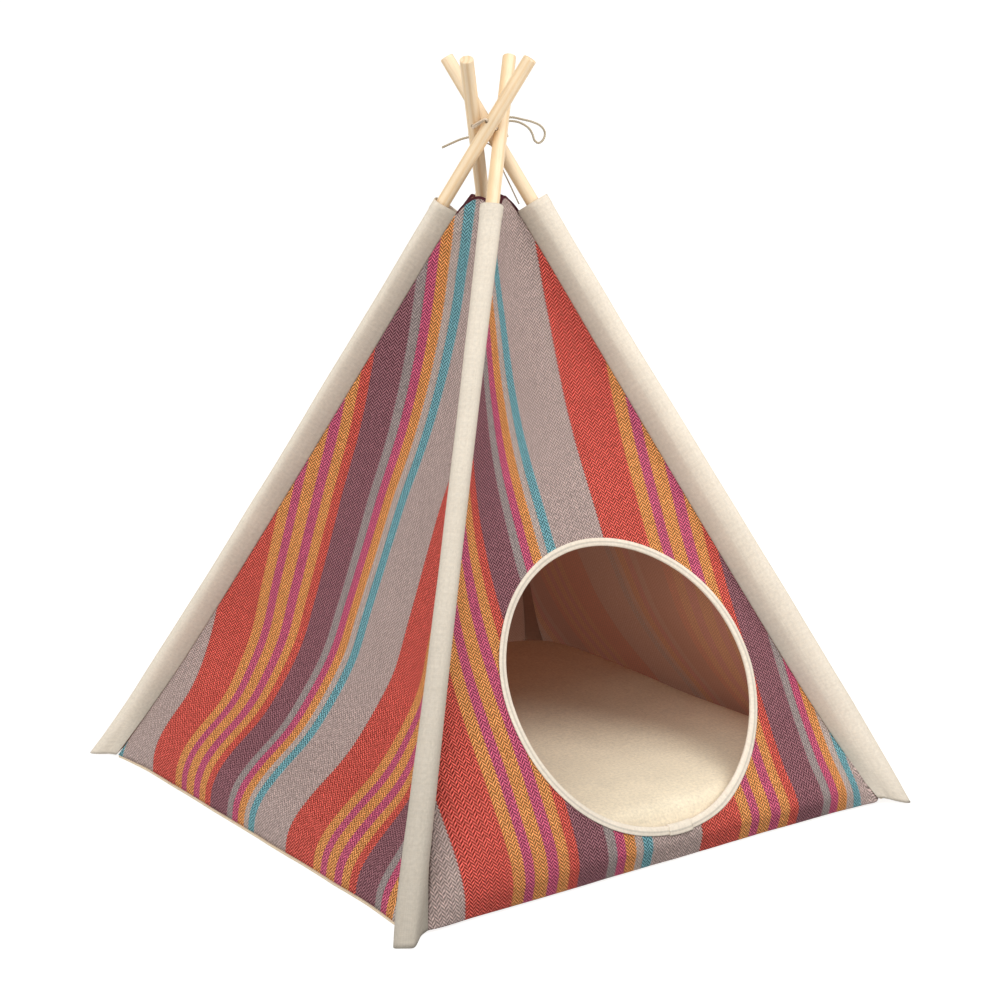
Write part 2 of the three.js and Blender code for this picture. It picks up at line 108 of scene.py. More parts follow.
def add_piece(bm, name, *materials):
    """Turn a finished bmesh into an object at the origin."""
    mesh = bpy.data.meshes.new(name)
    bm.to_mesh(mesh)
    bm.free()
    for material in materials:
        mesh.materials.append(material)
    return add_object(name, mesh)


camera_data = bpy.data.cameras.new("photo_camera")
camera_data.lens = LENS
camera_data.shift_x = FRAMING_SHIFT
camera = add_object("photo_camera", camera_data)
camera.location = EYE
camera.rotation_euler = SIGHT.to_track_quat("-Z", "Y").to_euler()
bpy.context.scene.camera = camera
bpy.context.scene.view_settings.view_transform = "Standard"

left_lamp_data = bpy.data.lights.new("left_lamp", "SUN")
left_lamp_data.energy = LEFT_LAMP_STRENGTH
left_lamp_data.angle = LEFT_LAMP_SPREAD
left_lamp = add_object("left_lamp", left_lamp_data)
left_lamp.rotation_euler = LEFT_LAMP_FROM.to_track_quat("Z", "Y").to_euler()

front_lamp_data = bpy.data.lights.new("front_lamp", "AREA")
front_lamp_data.energy = FRONT_LAMP_WATTS
front_lamp_data.size = FRONT_LAMP_SIDE
front_lamp = add_object("front_lamp", front_lamp_data)
front_lamp.location = FRONT_LAMP_PLACE
front_lamp.rotation_euler = (FRONT_LAMP_AIM - FRONT_LAMP_PLACE).to_track_quat("-Z", "Y").to_euler()

sky = bpy.data.worlds.new("studio_sky")
sky.use_nodes = True
sky_light = sky.node_tree.nodes["Background"].inputs
sky_light["Color"].default_value = SKY_COLOUR
sky_light["Strength"].default_value = SKY_STRENGTH
bpy.context.scene.world = sky

floor_paint, _, floor_shader = new_material("studio_floor", *FLOOR_FINISH)
floor_shader.inputs["Base Color"].default_value = FLOOR_COLOUR
floor_shader.inputs["Emission Color"].default_value = FLOOR_GLOW_COLOUR
floor_shader.inputs["Emission Strength"].default_value = FLOOR_GLOW
ground = bmesh.new()
bmesh.ops.create_grid(ground, x_segments=1, y_segments=1, size=FLOOR_REACH)
bmesh.ops.translate(ground, verts=ground.verts, vec=(0, 0, -FLOOR_DROP))
studio_floor = add_piece(ground, "studio_floor", floor_paint)
studio_floor.visible_diffuse = False

# Poles: four dowels of bare sanded softwood with eased ends. Each leans in from its corner past the centre
# line, a little to one side, so that the four pass each other, and is drilled there for the twine.
SIDE = 0.6
CROSSING_HEIGHT = 0.685
CROSSING_OFFSET = 0.0131
POLE_RADIUS = 0.007
POLE_FOOT = 0.0057
POLE_TOP = 0.758
POLE_EASE = 0.0013
EASE_STEPS = 4
POLE_SEGMENTS = 48
HOLE_RADIUS = 0.0023
HOLE_SEGMENTS = 24
SHARP_FROM = math.radians(38)
POLE_PALE = byte_colour(251, 227, 192)
POLE_RING = byte_colour(241, 207, 160)
POLE_FIBRE = byte_colour(228, 194, 146)
POLE_FINISH = (0.55, 0.35)
GRAIN_STRETCH = (1.0, 1.0, 0.04)
RING_WAVE = {"Scale": 62.0, "Distortion": 3.0, "Detail": 2.0, "Detail Scale": 1.5}
FIBRE_NOISE = {"Scale": 1400.0, "Detail": 3.0}
PATCH_NOISE = {"Scale": 22.0, "Detail": 2.0}
# A range gives two values of a pattern, and the two that they are turned into.
RING_RANGE = (0.3, 1.0, 0.0, 0.8)
FIBRE_RANGE = (0.5, 0.75, 0.0, 0.45)
PATCH_RANGE = (0.3, 0.7, 0.93, 1.05)
# A bump is how strong a pattern's relief is, and how deep.
WOOD_BUMP = (0.25, 0.0002)
# Where in the plank the first dowel was sawn, and how far on the next ones, so that no two grains agree.
SAWN_FIRST = Vector((0.004, 0.009, 0))
SAWN_STEP = Vector((0.003, -0.004, 0.31))
UP = Vector((0, 0, 1))
# Each corner's side of the centre, and how far its foot is shifted round the base.
CORNERS = {
    "front_left": (-1, -1, 0.003),
    "front_right": (1, -1, 0),
    "back_right": (1, 1, 0.012),
    "back_left": (-1, 1, 0),
}
# Each hole's height over the crossing, and the way its drill pointed, in degrees round and down.
HOLES = {
    "front_left": (0, 12, 27),
    "front_right": (0.008, 150, 20),
    "back_right": (0.008, 228, 16),
    "back_left": (0.008, 17, 32),
}


def stand_pole(corner):
    """A pole's axis, the directions across it away from the centre and round it, and its hole."""
    x, y, foot_shift = CORNERS[corner]
    rise, heading, fall = HOLES[corner]
    radial = Vector((x, y, 0)).normalized()
    round_base = UP.cross(radial)
    foot = radial * SIDE / math.sqrt(2) + round_base * foot_shift
    waist = round_base * CROSSING_OFFSET + UP * CROSSING_HEIGHT
    axis = (waist - foot).normalized()
    out = (radial - axis * radial.dot(axis)).normalized()
    heading, fall = math.radians(heading), math.radians(fall)
    bore = Vector((math.cos(heading) * math.cos(fall), math.sin(heading) * math.cos(fall), -math.sin(fall)))
    hole = foot + (waist - foot) * (CROSSING_HEIGHT + rise) / CROSSING_HEIGHT
    return SimpleNamespace(corner=corner, foot=foot, waist=waist, radial=radial, axis=axis, out=out,
                           side=axis.cross(out), hole=hole, bore=bore)


def on_pole(pole, height):
    return pole.foot + (pole.waist - pole.foot) * height / CROSSING_HEIGHT


def dowel_between(low, high, radius, segments, ease=0.0):
    """A round bar with eased ends, and the matrix that lays it from low to high."""
    bar = bmesh.new()
    bmesh.ops.create_cone(bar, cap_ends=True, segments=segments, radius1=radius, radius2=radius,
                          depth=(high - low).length)
    if ease:
        rims = [edge for edge in bar.edges if abs(edge.verts[0].co.z - edge.verts[1].co.z) < ease]
        bmesh.ops.bevel(bar, geom=rims, offset=ease, affect="EDGES", segments=EASE_STEPS, profile=0.5,
                        material=-1)
    for face in bar.faces:
        face.smooth = True
    lie = Matrix.Translation((low + high) / 2) @ (high - low).to_track_quat("Z", "Y").to_matrix().to_4x4()
    bmesh.ops.transform(bar, matrix=lie, verts=bar.verts)
    return bar, lie


def drill(piece, middle, bore, radius, reach):
    """Cut a round hole through a piece and keep the result as its mesh."""
    bit, _ = dowel_between(middle - bore * reach, middle + bore * reach, radius, HOLE_SEGMENTS)
    cutter = add_piece(bit, "drill_bit")
    cut = piece.modifiers.new("hole", "BOOLEAN")
    cut.operation = "DIFFERENCE"
    cut.object = cutter
    drilled = piece.evaluated_get(bpy.context.evaluated_depsgraph_get())
    mesh = bpy.data.meshes.new_from_object(drilled)
    piece.modifiers.clear()
    piece.data = mesh
    bpy.data.objects.remove(cutter)


def mix_colour(tree, factor, first, second, blend="MIX"):
    """Mix two colours. The node's inputs between the factor and the colours are for other kinds of value."""
    spare = [None] * 5
    return node(tree, "Mix", factor, *spare, first, second, data_type="RGBA", blend_type=blend).outputs[2]


def toned(tree, colour, *tones):
    """A colour made lighter or darker by each tone in turn."""
    for tone in tones:
        colour = mix_colour(tree, 1.0, colour, tone, "MULTIPLY")
    return colour


def ranged(tree, value, *ends):
    return node(tree, "MapRange", value, *ends).outputs[0]


def coat(tree, shader, colour, height, strength, depth):
    """Give a shader its colour, and a bump from a pattern's height."""
    bump = node(tree, "Bump", named={"Strength": strength, "Distance": depth, "Height": height})
    tree.links.new(colour, shader.inputs["Base Color"])
    tree.links.new(bump.outputs[0], shader.inputs["Normal"])


pole_wood, wood_tree, wood_shader = new_material("pole_wood", *POLE_FINISH)
grain = node(wood_tree, "Attribute", attribute_name="grain").outputs["Vector"]
long_grain = node(wood_tree, "Mapping", grain, named={"Scale": GRAIN_STRETCH}).outputs[0]
rings = node(wood_tree, "TexWave", long_grain, wave_type="RINGS", rings_direction="Z",
             named=RING_WAVE).outputs["Fac"]
fibres = node(wood_tree, "TexNoise", long_grain, named=FIBRE_NOISE).outputs["Fac"]
patches = node(wood_tree, "TexNoise", grain, named=PATCH_NOISE).outputs["Fac"]
ringed = mix_colour(wood_tree, ranged(wood_tree, rings, *RING_RANGE), POLE_PALE, POLE_RING)
fibred = mix_colour(wood_tree, ranged(wood_tree, fibres, *FIBRE_RANGE), ringed, POLE_FIBRE)
sanded = toned(wood_tree, fibred, ranged(wood_tree, patches, *PATCH_RANGE))
coat(wood_tree, wood_shader, sanded, fibres, *WOOD_BUMP)

poles = [stand_pole(corner) for corner in CORNERS]
for number, pole in enumerate(poles):
    bar, lie = dowel_between(on_pole(pole, POLE_FOOT), on_pole(pole, POLE_TOP), POLE_RADIUS, POLE_SEGMENTS,
                             POLE_EASE)
    dowel = add_piece(bar, f"dowel_{pole.corner}", pole_wood)
    drill(dowel, pole.hole, pole.bore, HOLE_RADIUS, 2 * POLE_RADIUS)
    dowel.data.set_sharp_from_angle(angle=SHARP_FROM)
    sawn = SAWN_FIRST + SAWN_STEP * number
    places = dowel.data.attributes.new("grain", "FLOAT_VECTOR", "POINT")
    upright = lie.inverted()
    for vertex, place in zip(dowel.data.vertices, places.data):
        place.vector = upright @ vertex.co + sawn
    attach(dowel, "root")
    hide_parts(f"pole_{pole.corner}")

# Tie: undyed cotton twine in three plies. It is threaded doubled through the four drilled poles and knotted
# at the back, with one cut end, a thinner strand that hangs beside a pole, and a loop that stands out.
TWINE = 0.0026
THIN_TWINE = 0.0016
RING_TWINE = 0.0024
RING_APART = 0.0009
RING_TURNS = 14.0
PLIES = 3
PLY_DEPTH = 0.3
LAY_LENGTH = 0.0062
TWINE_SIDES = 15
TWINE_STEP = 0.00045
KNOT = Vector((0, 0.026, 0.683))
KNOT_SIZE = 0.0034
KNOT_POINTS = 48
KNOT_ROUNDS = 2
KNOT_LOBES = 1.5
TWINE_PALE = byte_colour(226, 212, 188)
# The darker twine colours are painted shade for the grooves between the plies.
TWINE_GROOVE_SHADE = byte_colour(166, 148, 120)
# The ring's twine is the same twine painted lighter, as painted light.
RING_LIT_PALE = byte_colour(250, 232, 208)
RING_GROOVE_SHADE = byte_colour(206, 176, 146)
TWINE_FINISH = (0.9, 0.1)
TWINE_STRETCH = (14.0, 3.0, 1.0)
TWINE_NOISE = {"Scale": 2.2, "Detail": 4.0}
GROOVE_SHADE_RANGE = (-1.0, 0.3, 0.75, 0.0)
STRAND_TONES = (0.35, 0.7, 0.82, 1.08)
TWINE_BUMP = (0.5, 0.0002)
SAME_SPOT = 1e-6
WELD_REACH = 1e-7
ROUTE_FINENESS = 4
# The poles in the order that the ring passes them from its knot, by their numbers.
RING_ORDER = (2, 3, 0, 1)
# How far the twine runs on straight before and after each hole, and how far it then bows outwards.
HOLE_RUNS = {
    "front_left": (0.008, 0.010, 0.0025),
    "front_right": (0.010, 0.010, 0),
    "back_right": (0.010, 0.010, 0.0015),
    "back_left": (0.010, 0.008, 0),
}
TAIL_ROUTE = [
    (-0.003, 0.0289, 0.6782), (-0.010, 0.0334, 0.676), (-0.019, 0.0363, 0.6724), (-0.0291, 0.0395, 0.668),
]
HANGER_ROUTE = [
    (0.0032, 0.0236, 0.6794), (0.0085, 0.0195, 0.6735), (0.0136, 0.0142, 0.670), (0.019, 0.0105, 0.660),
    (0.023, 0.007, 0.646), (0.026, 0.0015, 0.6345), (0.0287, -0.0035, 0.624), (0.0323, -0.009, 0.6114),
]
# The loop's route from the knot: away from it on the level, up, and aside.
LOOP_HEADING = math.radians(-20)
LOOP_ROUTE = [
    (0.006, 0.0026, 0.0017), (0.018, 0.0086, 0.0017), (0.030, 0.013, 0.0017), (0.041, 0.0142, 0.0017),
    (0.052, 0.012, 0.0015), (0.063, 0.0092, 0.0011), (0.072, 0.0046, 0.0007), (0.0758, -0.0017, 0.0003),
    (0.074, -0.0086, -0.0001), (0.069, -0.012, -0.0005), (0.0646, -0.0094, -0.0008),
    (0.0624, -0.0036, -0.0011), (0.059, 0.0022, -0.0014), (0.0534, 0.0066, -0.0016),
    (0.045, 0.010, -0.0017), (0.032, 0.0104, -0.0017), (0.018, 0.0056, -0.0017), (0.006, -0.0006, -0.0017),
]


def walked_lengths(points):
    """How far along a line each of its points is."""
    walked = [0.0]
    for first, second in zip(points, points[1:]):
        walked.append(walked[-1] + (second - first).length)
    return walked


def route_length(line):
    return walked_lengths(line)[-1]


def smooth_route(points, step):
    """Evenly spaced points on a smooth line through the given ones."""
    given = [Vector(point) for point in points]
    ends = [2 * given[0] - given[1], *given, 2 * given[-1] - given[-2]]
    fine = []
    for before, start, end, after in zip(ends, ends[1:], ends[2:], ends[3:]):
        pairs = ((before, start), (start, end), (end, after))
        gaps = [max((second - first).length, SAME_SPOT) ** 0.5 for first, second in pairs]
        lead = (start - before) / gaps[0] - (end - before) / (gaps[0] + gaps[1]) + (end - start) / gaps[1]
        leave = (end - start) / gaps[1] - (after - start) / (gaps[1] + gaps[2]) + (after - end) / gaps[2]
        lead, leave = lead * gaps[1], leave * gaps[1]
        across = end - start
        pieces = max(ROUTE_FINENESS, round(across.length / step) * ROUTE_FINENESS)
        for number in range(pieces):
            t = number / pieces
            bend = (lead - across) * (1 - t) - (leave - across) * t
            fine.append(start + across * t + bend * t * (1 - t))
    fine.append(given[-1])
    walked = walked_lengths(fine)
    count = max(2, round(walked[-1] / step))
    even = []
    for number in range(count + 1):
        distance = walked[-1] * number / count
        spot = min(bisect.bisect_left(walked, distance, 1), len(walked) - 1)
        share = (distance - walked[spot - 1]) / (walked[spot] - walked[spot - 1])
        even.append(fine[spot - 1].lerp(fine[spot], share))
    return even


def carried_frames(line):
    """Each point's two directions across the line, carried along without turning."""
    ways = [(after - before).normalized() for before, after in zip([line[0], *line], [*line[1:], line[-1]])]
    first = ways[0].orthogonal().normalized()
    frames = []
    for way in ways:
        first = (first - way * first.dot(way)).normalized()
        frames.append((first, way.cross(first)))
    return frames


def placed_grid(across, along, place, closed=False):
    """A grid of smooth faces whose points and UV spots come from place(column, row)."""
    bm = bmesh.new()
    uv = bm.loops.layers.uv.new("cloth")
    bmesh.ops.create_grid(bm, x_segments=across, y_segments=along, size=0.5)
    spots = {}
    for vert in bm.verts:
        column, row = round((vert.co.x + 0.5) * across), round((vert.co.y + 0.5) * along)
        vert.co, spots[vert] = place(column, row)
    for face in bm.faces:
        face.smooth = True
        for loop in face.loops:
            loop[uv].uv = spots[loop.vert]
    if closed:
        bmesh.ops.remove_doubles(bm, verts=bm.verts, dist=WELD_REACH)
    return bm


def twist_twine(line, thickness):
    """A three-ply twine along a line, with closed ends."""
    frames = carried_frames(line)
    step = route_length(line) / (len(line) - 1)

    def place(column, row):
        angle = 2 * math.pi * column / TWINE_SIDES
        lobe = 0.5 - 0.5 * math.cos(PLIES * angle)
        radius = thickness / 2 * (1 - PLY_DEPTH * lobe)
        turned = angle + 2 * math.pi * row * step / LAY_LENGTH
        first, second = frames[row]
        spot = line[row] + first * radius * math.cos(turned) + second * radius * math.sin(turned)
        return spot, (column / TWINE_SIDES, row * step / LAY_LENGTH)

    bm = placed_grid(TWINE_SIDES, len(line) - 1, place, closed=True)
    bmesh.ops.holes_fill(bm, edges=bm.edges, sides=0)
    bmesh.ops.recalc_face_normals(bm, faces=bm.faces)
    return bm


def joined(parts):
    """Several bmeshes as one."""
    whole = bmesh.new()
    for part in parts:
        passing = bpy.data.meshes.new("passing")
        part.to_mesh(passing)
        part.free()
        whole.from_mesh(passing)
        bpy.data.meshes.remove(passing)
    return whole


def calc(tree, operation, *values):
    return node(tree, "Math", *values, operation=operation).outputs[0]


def cloth_place(tree):
    return node(tree, "UVMap", uv_map="cloth").outputs[0]


def twine_material(name, pale, groove_shade):
    """Cotton twine with painted shade in the grooves between its plies, and fibres along them."""
    material, tree, shader = new_material(name, *TWINE_FINISH)
    place = cloth_place(tree)
    around = node(tree, "SeparateXYZ", place).outputs[0]
    ply_cosine = calc(tree, "COSINE", calc(tree, "MULTIPLY", around, PLIES * 2 * math.pi))
    stretch = node(tree, "Mapping", place, named={"Scale": TWINE_STRETCH}).outputs[0]
    fibres = node(tree, "TexNoise", stretch, named=TWINE_NOISE).outputs["Fac"]
    groove_shaded = mix_colour(tree, ranged(tree, ply_cosine, *GROOVE_SHADE_RANGE), pale, groove_shade)
    coat(tree, shader, toned(tree, groove_shaded, ranged(tree, fibres, *STRAND_TONES)), fibres, *TWINE_BUMP)
    return material


twine = twine_material("twine", TWINE_PALE, TWINE_GROOVE_SHADE)
# The ring uses a lighter copy of the same twine, as painted light.
clean_twine = twine_material("clean_twine", RING_LIT_PALE, RING_GROOVE_SHADE)

ring_points = [KNOT]
for number in RING_ORDER:
    pole = poles[number]
    before, after, bow = HOLE_RUNS[pole.corner]
    ring_points += [pole.hole + pole.bore * reach for reach in (-before, -before / 2, after / 2, after)]
    if bow:
        following = poles[(number + 1) % len(poles)]
        arriving = following.hole - following.bore * HOLE_RUNS[following.corner][0]
        middle = (pole.hole + pole.bore * after).lerp(arriving, 0.5)
        ring_points.append(middle + Vector((middle.x, middle.y, 0)).normalized() * bow)
ring_points.append(KNOT)
ring_line = smooth_route(ring_points, TWINE_STEP)
ring_frames = carried_frames(ring_line)
ring_strands = []
for strand in (0, 1):
    strand_line = []
    for number, (point, (first, second)) in enumerate(zip(ring_line, ring_frames)):
        turn = math.pi * strand + RING_TURNS * number / len(ring_line)
        strand_line.append(point + (first * math.cos(turn) + second * math.sin(turn)) * RING_APART)
    ring_strands.append(twist_twine(strand_line, RING_TWINE))
knot_line = []
for number in range(KNOT_POINTS + 1):
    turn = 2 * math.pi * KNOT_ROUNDS * number / KNOT_POINTS
    reach = KNOT_SIZE * (2 + math.cos(KNOT_LOBES * turn)) / 2
    depth = -KNOT_SIZE * math.sin(KNOT_LOBES * turn) / 2
    knot_line.append(KNOT + Vector((reach * math.cos(turn), depth, reach * math.sin(turn))))
knot = twist_twine(smooth_route(knot_line, TWINE_STEP), TWINE)
twine_ring = add_piece(joined([*ring_strands, knot]), "twine_ring", clean_twine)

tail_line = smooth_route(TAIL_ROUTE, TWINE_STEP)
hanger_line = smooth_route(HANGER_ROUTE, TWINE_STEP)
loop_along = Vector((math.cos(LOOP_HEADING), math.sin(LOOP_HEADING), 0))
loop_aside = UP.cross(loop_along)
loop_line = smooth_route([KNOT + loop_along * along + UP * up + loop_aside * aside
                          for along, up, aside in LOOP_ROUTE], TWINE_STEP)
twine_tail = add_piece(twist_twine(tail_line, TWINE), "twine_tail", twine)
twine_hanger = add_piece(twist_twine(hanger_line, THIN_TWINE), "twine_hanger", twine)
twine_loop = add_piece(twist_twine(loop_line, TWINE), "twine_loop", twine)
for piece in (twine_ring, twine_tail, twine_hanger, twine_loop):
    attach(piece, "root")
    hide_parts(piece.name.replace("twine", "tie"))

# Sleeves: a strip of unbleached cotton canvas folded round each pole and sewn into the seam between two
# walls. It is hemmed and open at its top rim, and wider, flatter and sewn shut at its foot.
CANVAS = 0.0013
SLEEVE_AROUND = 72
SLEEVE_NOSE = 40
SLEEVE_FLANK = 12
SLEEVE_ROWS = 150
SLEEVE_TOP = 0.614
RIM_HEM = 0.011
RIM_HEM_RISE = 0.0005
RIM_HEM_SLOPE = 0.0015
FLANK_STRAIGHT = 0.68
SLEEVE_FLAT = (0.088, 0.66)
TAIL_FACING = 0.85
FOOT_REACH = 0.06
FOOT_EDGE_TOP = 0.02
SLEEVE_RIPPLE = 0.0007
# How far the ripple's pattern moves on from sleeve to sleeve, from column to column, and up each metre.
RIPPLE_PACE = (3.1, 0.035, 21)
RIPPLE_LAYER = 0.4
CANVAS_PALE = byte_colour(248, 238, 222)
CANVAS_SHADE = byte_colour(230, 213, 190)
# The sleeves' tails inside the tent are given brown cloth as painted shade, with a faint painted glow.
TAIL_SHADE_PALE = byte_colour(160, 116, 94)
TAIL_SHADE_DARK = byte_colour(144, 102, 82)
TAIL_PAINTED_GLOW = 0.07
CANVAS_FINISH = (0.95, 0.1)
CANVAS_PITCH = 0.00062
CANVAS_SLUBS = (0.0, 1.0, 0.15, 0.5)
# Painted shade in the hollows between the canvas yarns, by the weave's height.
CANVAS_HOLLOW_SHADE = (0.0, 0.8, 0.9, 1.02)
CANVAS_BUMP = (0.45, 0.00025)
CANVAS_FLECK = 0.34
FLECK_SIZE = 0.0028
# The size of the patches that washing leaves, and how much their tones differ.
CANVAS_WASH = (0.05, 0.2)
TONE_DETAIL = 4.0
SEAM_PLACE = (SLEEVE_AROUND + SLEEVE_NOSE) / 2 / SLEEVE_AROUND
# Painted shade beside each sleeve's seam: the distances from the seam over which it fades out, and how dark
# it is nearest.
SEAM_SHADE_REACH = (0.006, 0.024)
SEAM_DARKEST = 0.72
# By height up the pole: how level the section lies, its reach outside the pole, its half width beside it,
# its reach inside it to the seam, its half width there, and the share of the corner's slack.
SLEEVE_SECTIONS = [
    (0, 1, 0.0195, 0.0118, 0.0094, 0.015, 0),
    (0.025, 0.8, 0.017, 0.0122, 0.0108, 0.013, 0.5),
    (0.060, 0.5, 0.0145, 0.012, 0.013, 0.0095, 0.9),
    (0.120, 0.2, 0.0126, 0.0113, 0.0165, 0.0068, 1.2),
    (0.220, 0, 0.0105, 0.0102, 0.018, 0.005, 1.4),
    (0.330, 0, 0.0092, 0.0097, 0.0185, 0.0045, 1.4),
    (0.450, 0, 0.0092, 0.0098, 0.018, 0.0045, 1.1),
    (0.560, 0, 0.0092, 0.0104, 0.017, 0.0045, 1),
    (0.614, 0, 0.0094, 0.011, 0.017, 0.0045, 1),
]
# How much slack each sleeve's cloth has outside its pole, its width against the usual one, how square it is
# folded, where 2 is round, and how far off its middle the wall that ends there is sewn at most.
SLEEVE_FIT = {
    "front_left": (0, 1.03, 3.0, 0.004),
    "front_right": (0.007, 0.98, 2.3, 0.02),
    "back_right": (0.003, 1, 2.3, 0.02),
    "back_left": (0, 1, 2.6, 0.02),
}
# How much painted shade darkens each sleeve towards its foot, and the share of that all over it.
SLEEVE_PAINTED_SHADE = {"front_left": 0.42, "front_right": 0.04, "back_right": 0.04, "back_left": 0.0}
PAINTED_SHADE_ALL_OVER = 0.25
# How each foot differs: how much squarer it is folded, how far it is pulled round the base, its width
# against the usual one, how far its inner side is lifted off the floor, and its side towards the next wall.
FEET = {
    "front_left": (4.0, 0.002, 0.88, 0.002, 0.002),
    "front_right": (0, 0.001, 0.86, 0.008, 0),
    "back_right": (0, 0, 1.0, 0.004, 0),
    "back_left": (1.0, 0, 0.95, 0.003, 0),
}


def between_rows(table, height):
    """A table's columns at a height, on smooth lines through its rows and straight on past its ends."""
    upper = 1
    while upper < len(table) - 1 and table[upper][0] < height:
        upper += 1
    low, high = table[upper - 1], table[upper]
    span = high[0] - low[0]
    t = (height - low[0]) / span
    edges = []
    for row in (upper - 1, upper):
        before, after = table[max(row - 1, 0)], table[min(row + 1, len(table) - 1)]
        edges.append([(b - a) / (after[0] - before[0]) * span for a, b in zip(before, after)])
    values = []
    for first, second, leave, arrive in zip(low, high, *edges):
        rise = second - first
        bend = (leave - rise) * (1 - t) - (arrive - rise) * t if 0 <= t <= 1 else 0
        values.append(first + rise * t + bend * t * (1 - t))
    return values[1:]


def sleeve_point(pole, height, level, across, aside):
    step = pole.out * across + pole.side * aside
    step -= pole.axis * level * step.z / pole.axis.z
    return on_pole(pole, height) + step


def sleeve_outline(share, nose, girth, tail, half, squareness):
    """A drop-shaped section: a nose outside the pole, flanks that close in, and a narrow tail."""
    spot = share * SLEEVE_AROUND
    if spot <= SLEEVE_NOSE:
        angle = math.pi * (spot / SLEEVE_NOSE - 0.5)
        along, aside = max(0.0, math.cos(angle)), math.sin(angle)
        return nose * along ** (2 / squareness), girth * math.copysign(abs(aside) ** (2 / squareness), aside)
    spot -= SLEEVE_NOSE
    tail_steps = SLEEVE_AROUND - SLEEVE_NOSE - 2 * SLEEVE_FLANK
    if spot <= SLEEVE_FLANK:
        t, hand = spot / SLEEVE_FLANK, 1
    elif spot >= SLEEVE_FLANK + tail_steps:
        t, hand = (SLEEVE_FLANK * 2 + tail_steps - spot) / SLEEVE_FLANK, -1
    else:
        return -tail, half * (1 - 2 * (spot - SLEEVE_FLANK) / tail_steps)
    closing = FLANK_STRAIGHT * t + (1 - FLANK_STRAIGHT) * t * t
    return -tail * t, hand * (girth + (half - girth) * closing)


def clamp(value):
    return min(1.0, max(0.0, value))


def thicken(piece, thickness, offset):
    """Give a piece's cloth its thickness, inside its faces at an offset of -1 and to both sides at 0."""
    cloth = piece.modifiers.new("cloth", "SOLIDIFY")
    cloth.thickness = thickness
    cloth.offset = offset
    return cloth


def new_group(name, takes, gives):
    """A shader node group that takes a place and some numbers and gives numbers, and its sockets."""
    group = bpy.data.node_groups.new(name, "ShaderNodeTree")
    group.interface.new_socket("Place", in_out="INPUT", socket_type="NodeSocketVector")
    for label in takes:
        group.interface.new_socket(label, in_out="INPUT", socket_type="NodeSocketFloat")
    for label in gives:
        group.interface.new_socket(label, in_out="OUTPUT", socket_type="NodeSocketFloat")
    entry = group.nodes.new("NodeGroupInput")
    leave = group.nodes.new("NodeGroupOutput")
    return group, entry.outputs, leave.inputs


def use_group(tree, group, **inputs):
    return node(tree, "Group", node_tree=group, named=inputs).outputs


def yarn_grid(group, place, pitch):
    """The numbers of the two yarns that cross at a place, and how high the round back of each is there."""
    yarns, ridges = [], []
    for way in node(group, "SeparateXYZ", place).outputs[:2]:
        along = calc(group, "DIVIDE", way, pitch)
        yarns.append(calc(group, "FLOOR", along))
        turn = calc(group, "MULTIPLY", calc(group, "FRACT", along), math.pi)
        ridges.append(calc(group, "SINE", turn))
    return yarns, ridges


# Plain weave: yarns over and under each other in turn, each a round ridge with a shade of its own.
plain_weave, weave_in, weave_out = new_group("plain_weave", ["Pitch"], ["Height", "Yarn"])
weave_yarns, weave_ridges = yarn_grid(plain_weave, weave_in["Place"], weave_in["Pitch"])
weave_over = calc(plain_weave, "FLOORED_MODULO", calc(plain_weave, "ADD", *weave_yarns), 2.0)
yarn_shades = [node(plain_weave, "TexWhiteNoise", None, yarn, noise_dimensions="1D").outputs[0]
               for yarn in weave_yarns]
for label, (warp, weft) in (("Height", weave_ridges), ("Yarn", yarn_shades)):
    on_top = node(plain_weave, "Mix", weave_over, None, warp, weft).outputs[0]
    plain_weave.links.new(on_top, weave_out[label])

# Uneven cotton: differences of tone, broad and faint from washing, or small as flecks.
cloth_tone, tone_in, tone_out = new_group("cloth_tone", ["Size", "Depth"], ["Tone"])
tone_scale = calc(cloth_tone, "DIVIDE", 1.0, tone_in["Size"])
tone_noise = node(cloth_tone, "TexNoise", tone_in["Place"],
                  named={"Scale": tone_scale, "Detail": TONE_DETAIL}).outputs["Fac"]
tone_swing = calc(cloth_tone, "MULTIPLY", calc(cloth_tone, "SUBTRACT", tone_noise, 0.5), tone_in["Depth"])
cloth_tone.links.new(calc(cloth_tone, "ADD", tone_swing, 1.0), tone_out["Tone"])


def canvas_material(name, pale=CANVAS_PALE, shade=CANVAS_SHADE, pitch=CANVAS_PITCH, fleck=CANVAS_FLECK,
                    place_from=cloth_place, shading=None, glow=0.0):
    """Unbleached cotton in a plain weave, with painted shade in the hollows between its yarns. fleck is how
    uneven its fibres look, and place_from gives a tree the place on the cloth, in metres. shading, where
    given, is painted shade that darkens it from place to place, and glow is painted light that stands in for
    light coming through it."""
    material, tree, shader = new_material(name, *CANVAS_FINISH)
    place = place_from(tree)
    woven = use_group(tree, plain_weave, Place=place, Pitch=pitch)
    tones = [ranged(tree, woven["Height"], *CANVAS_HOLLOW_SHADE)]
    for size, depth in ((FLECK_SIZE, fleck), CANVAS_WASH):
        tones.append(use_group(tree, cloth_tone, Place=place, Size=size, Depth=depth)["Tone"])
    if shading:
        tones.append(shading(tree, place))
    yarns = mix_colour(tree, ranged(tree, woven["Yarn"], *CANVAS_SLUBS), pale, shade)
    coat(tree, shader, toned(tree, yarns, *tones), woven["Height"], *CANVAS_BUMP)
    shader.inputs["Emission Color"].default_value = pale
    shader.inputs["Emission Strength"].default_value = glow
    return material


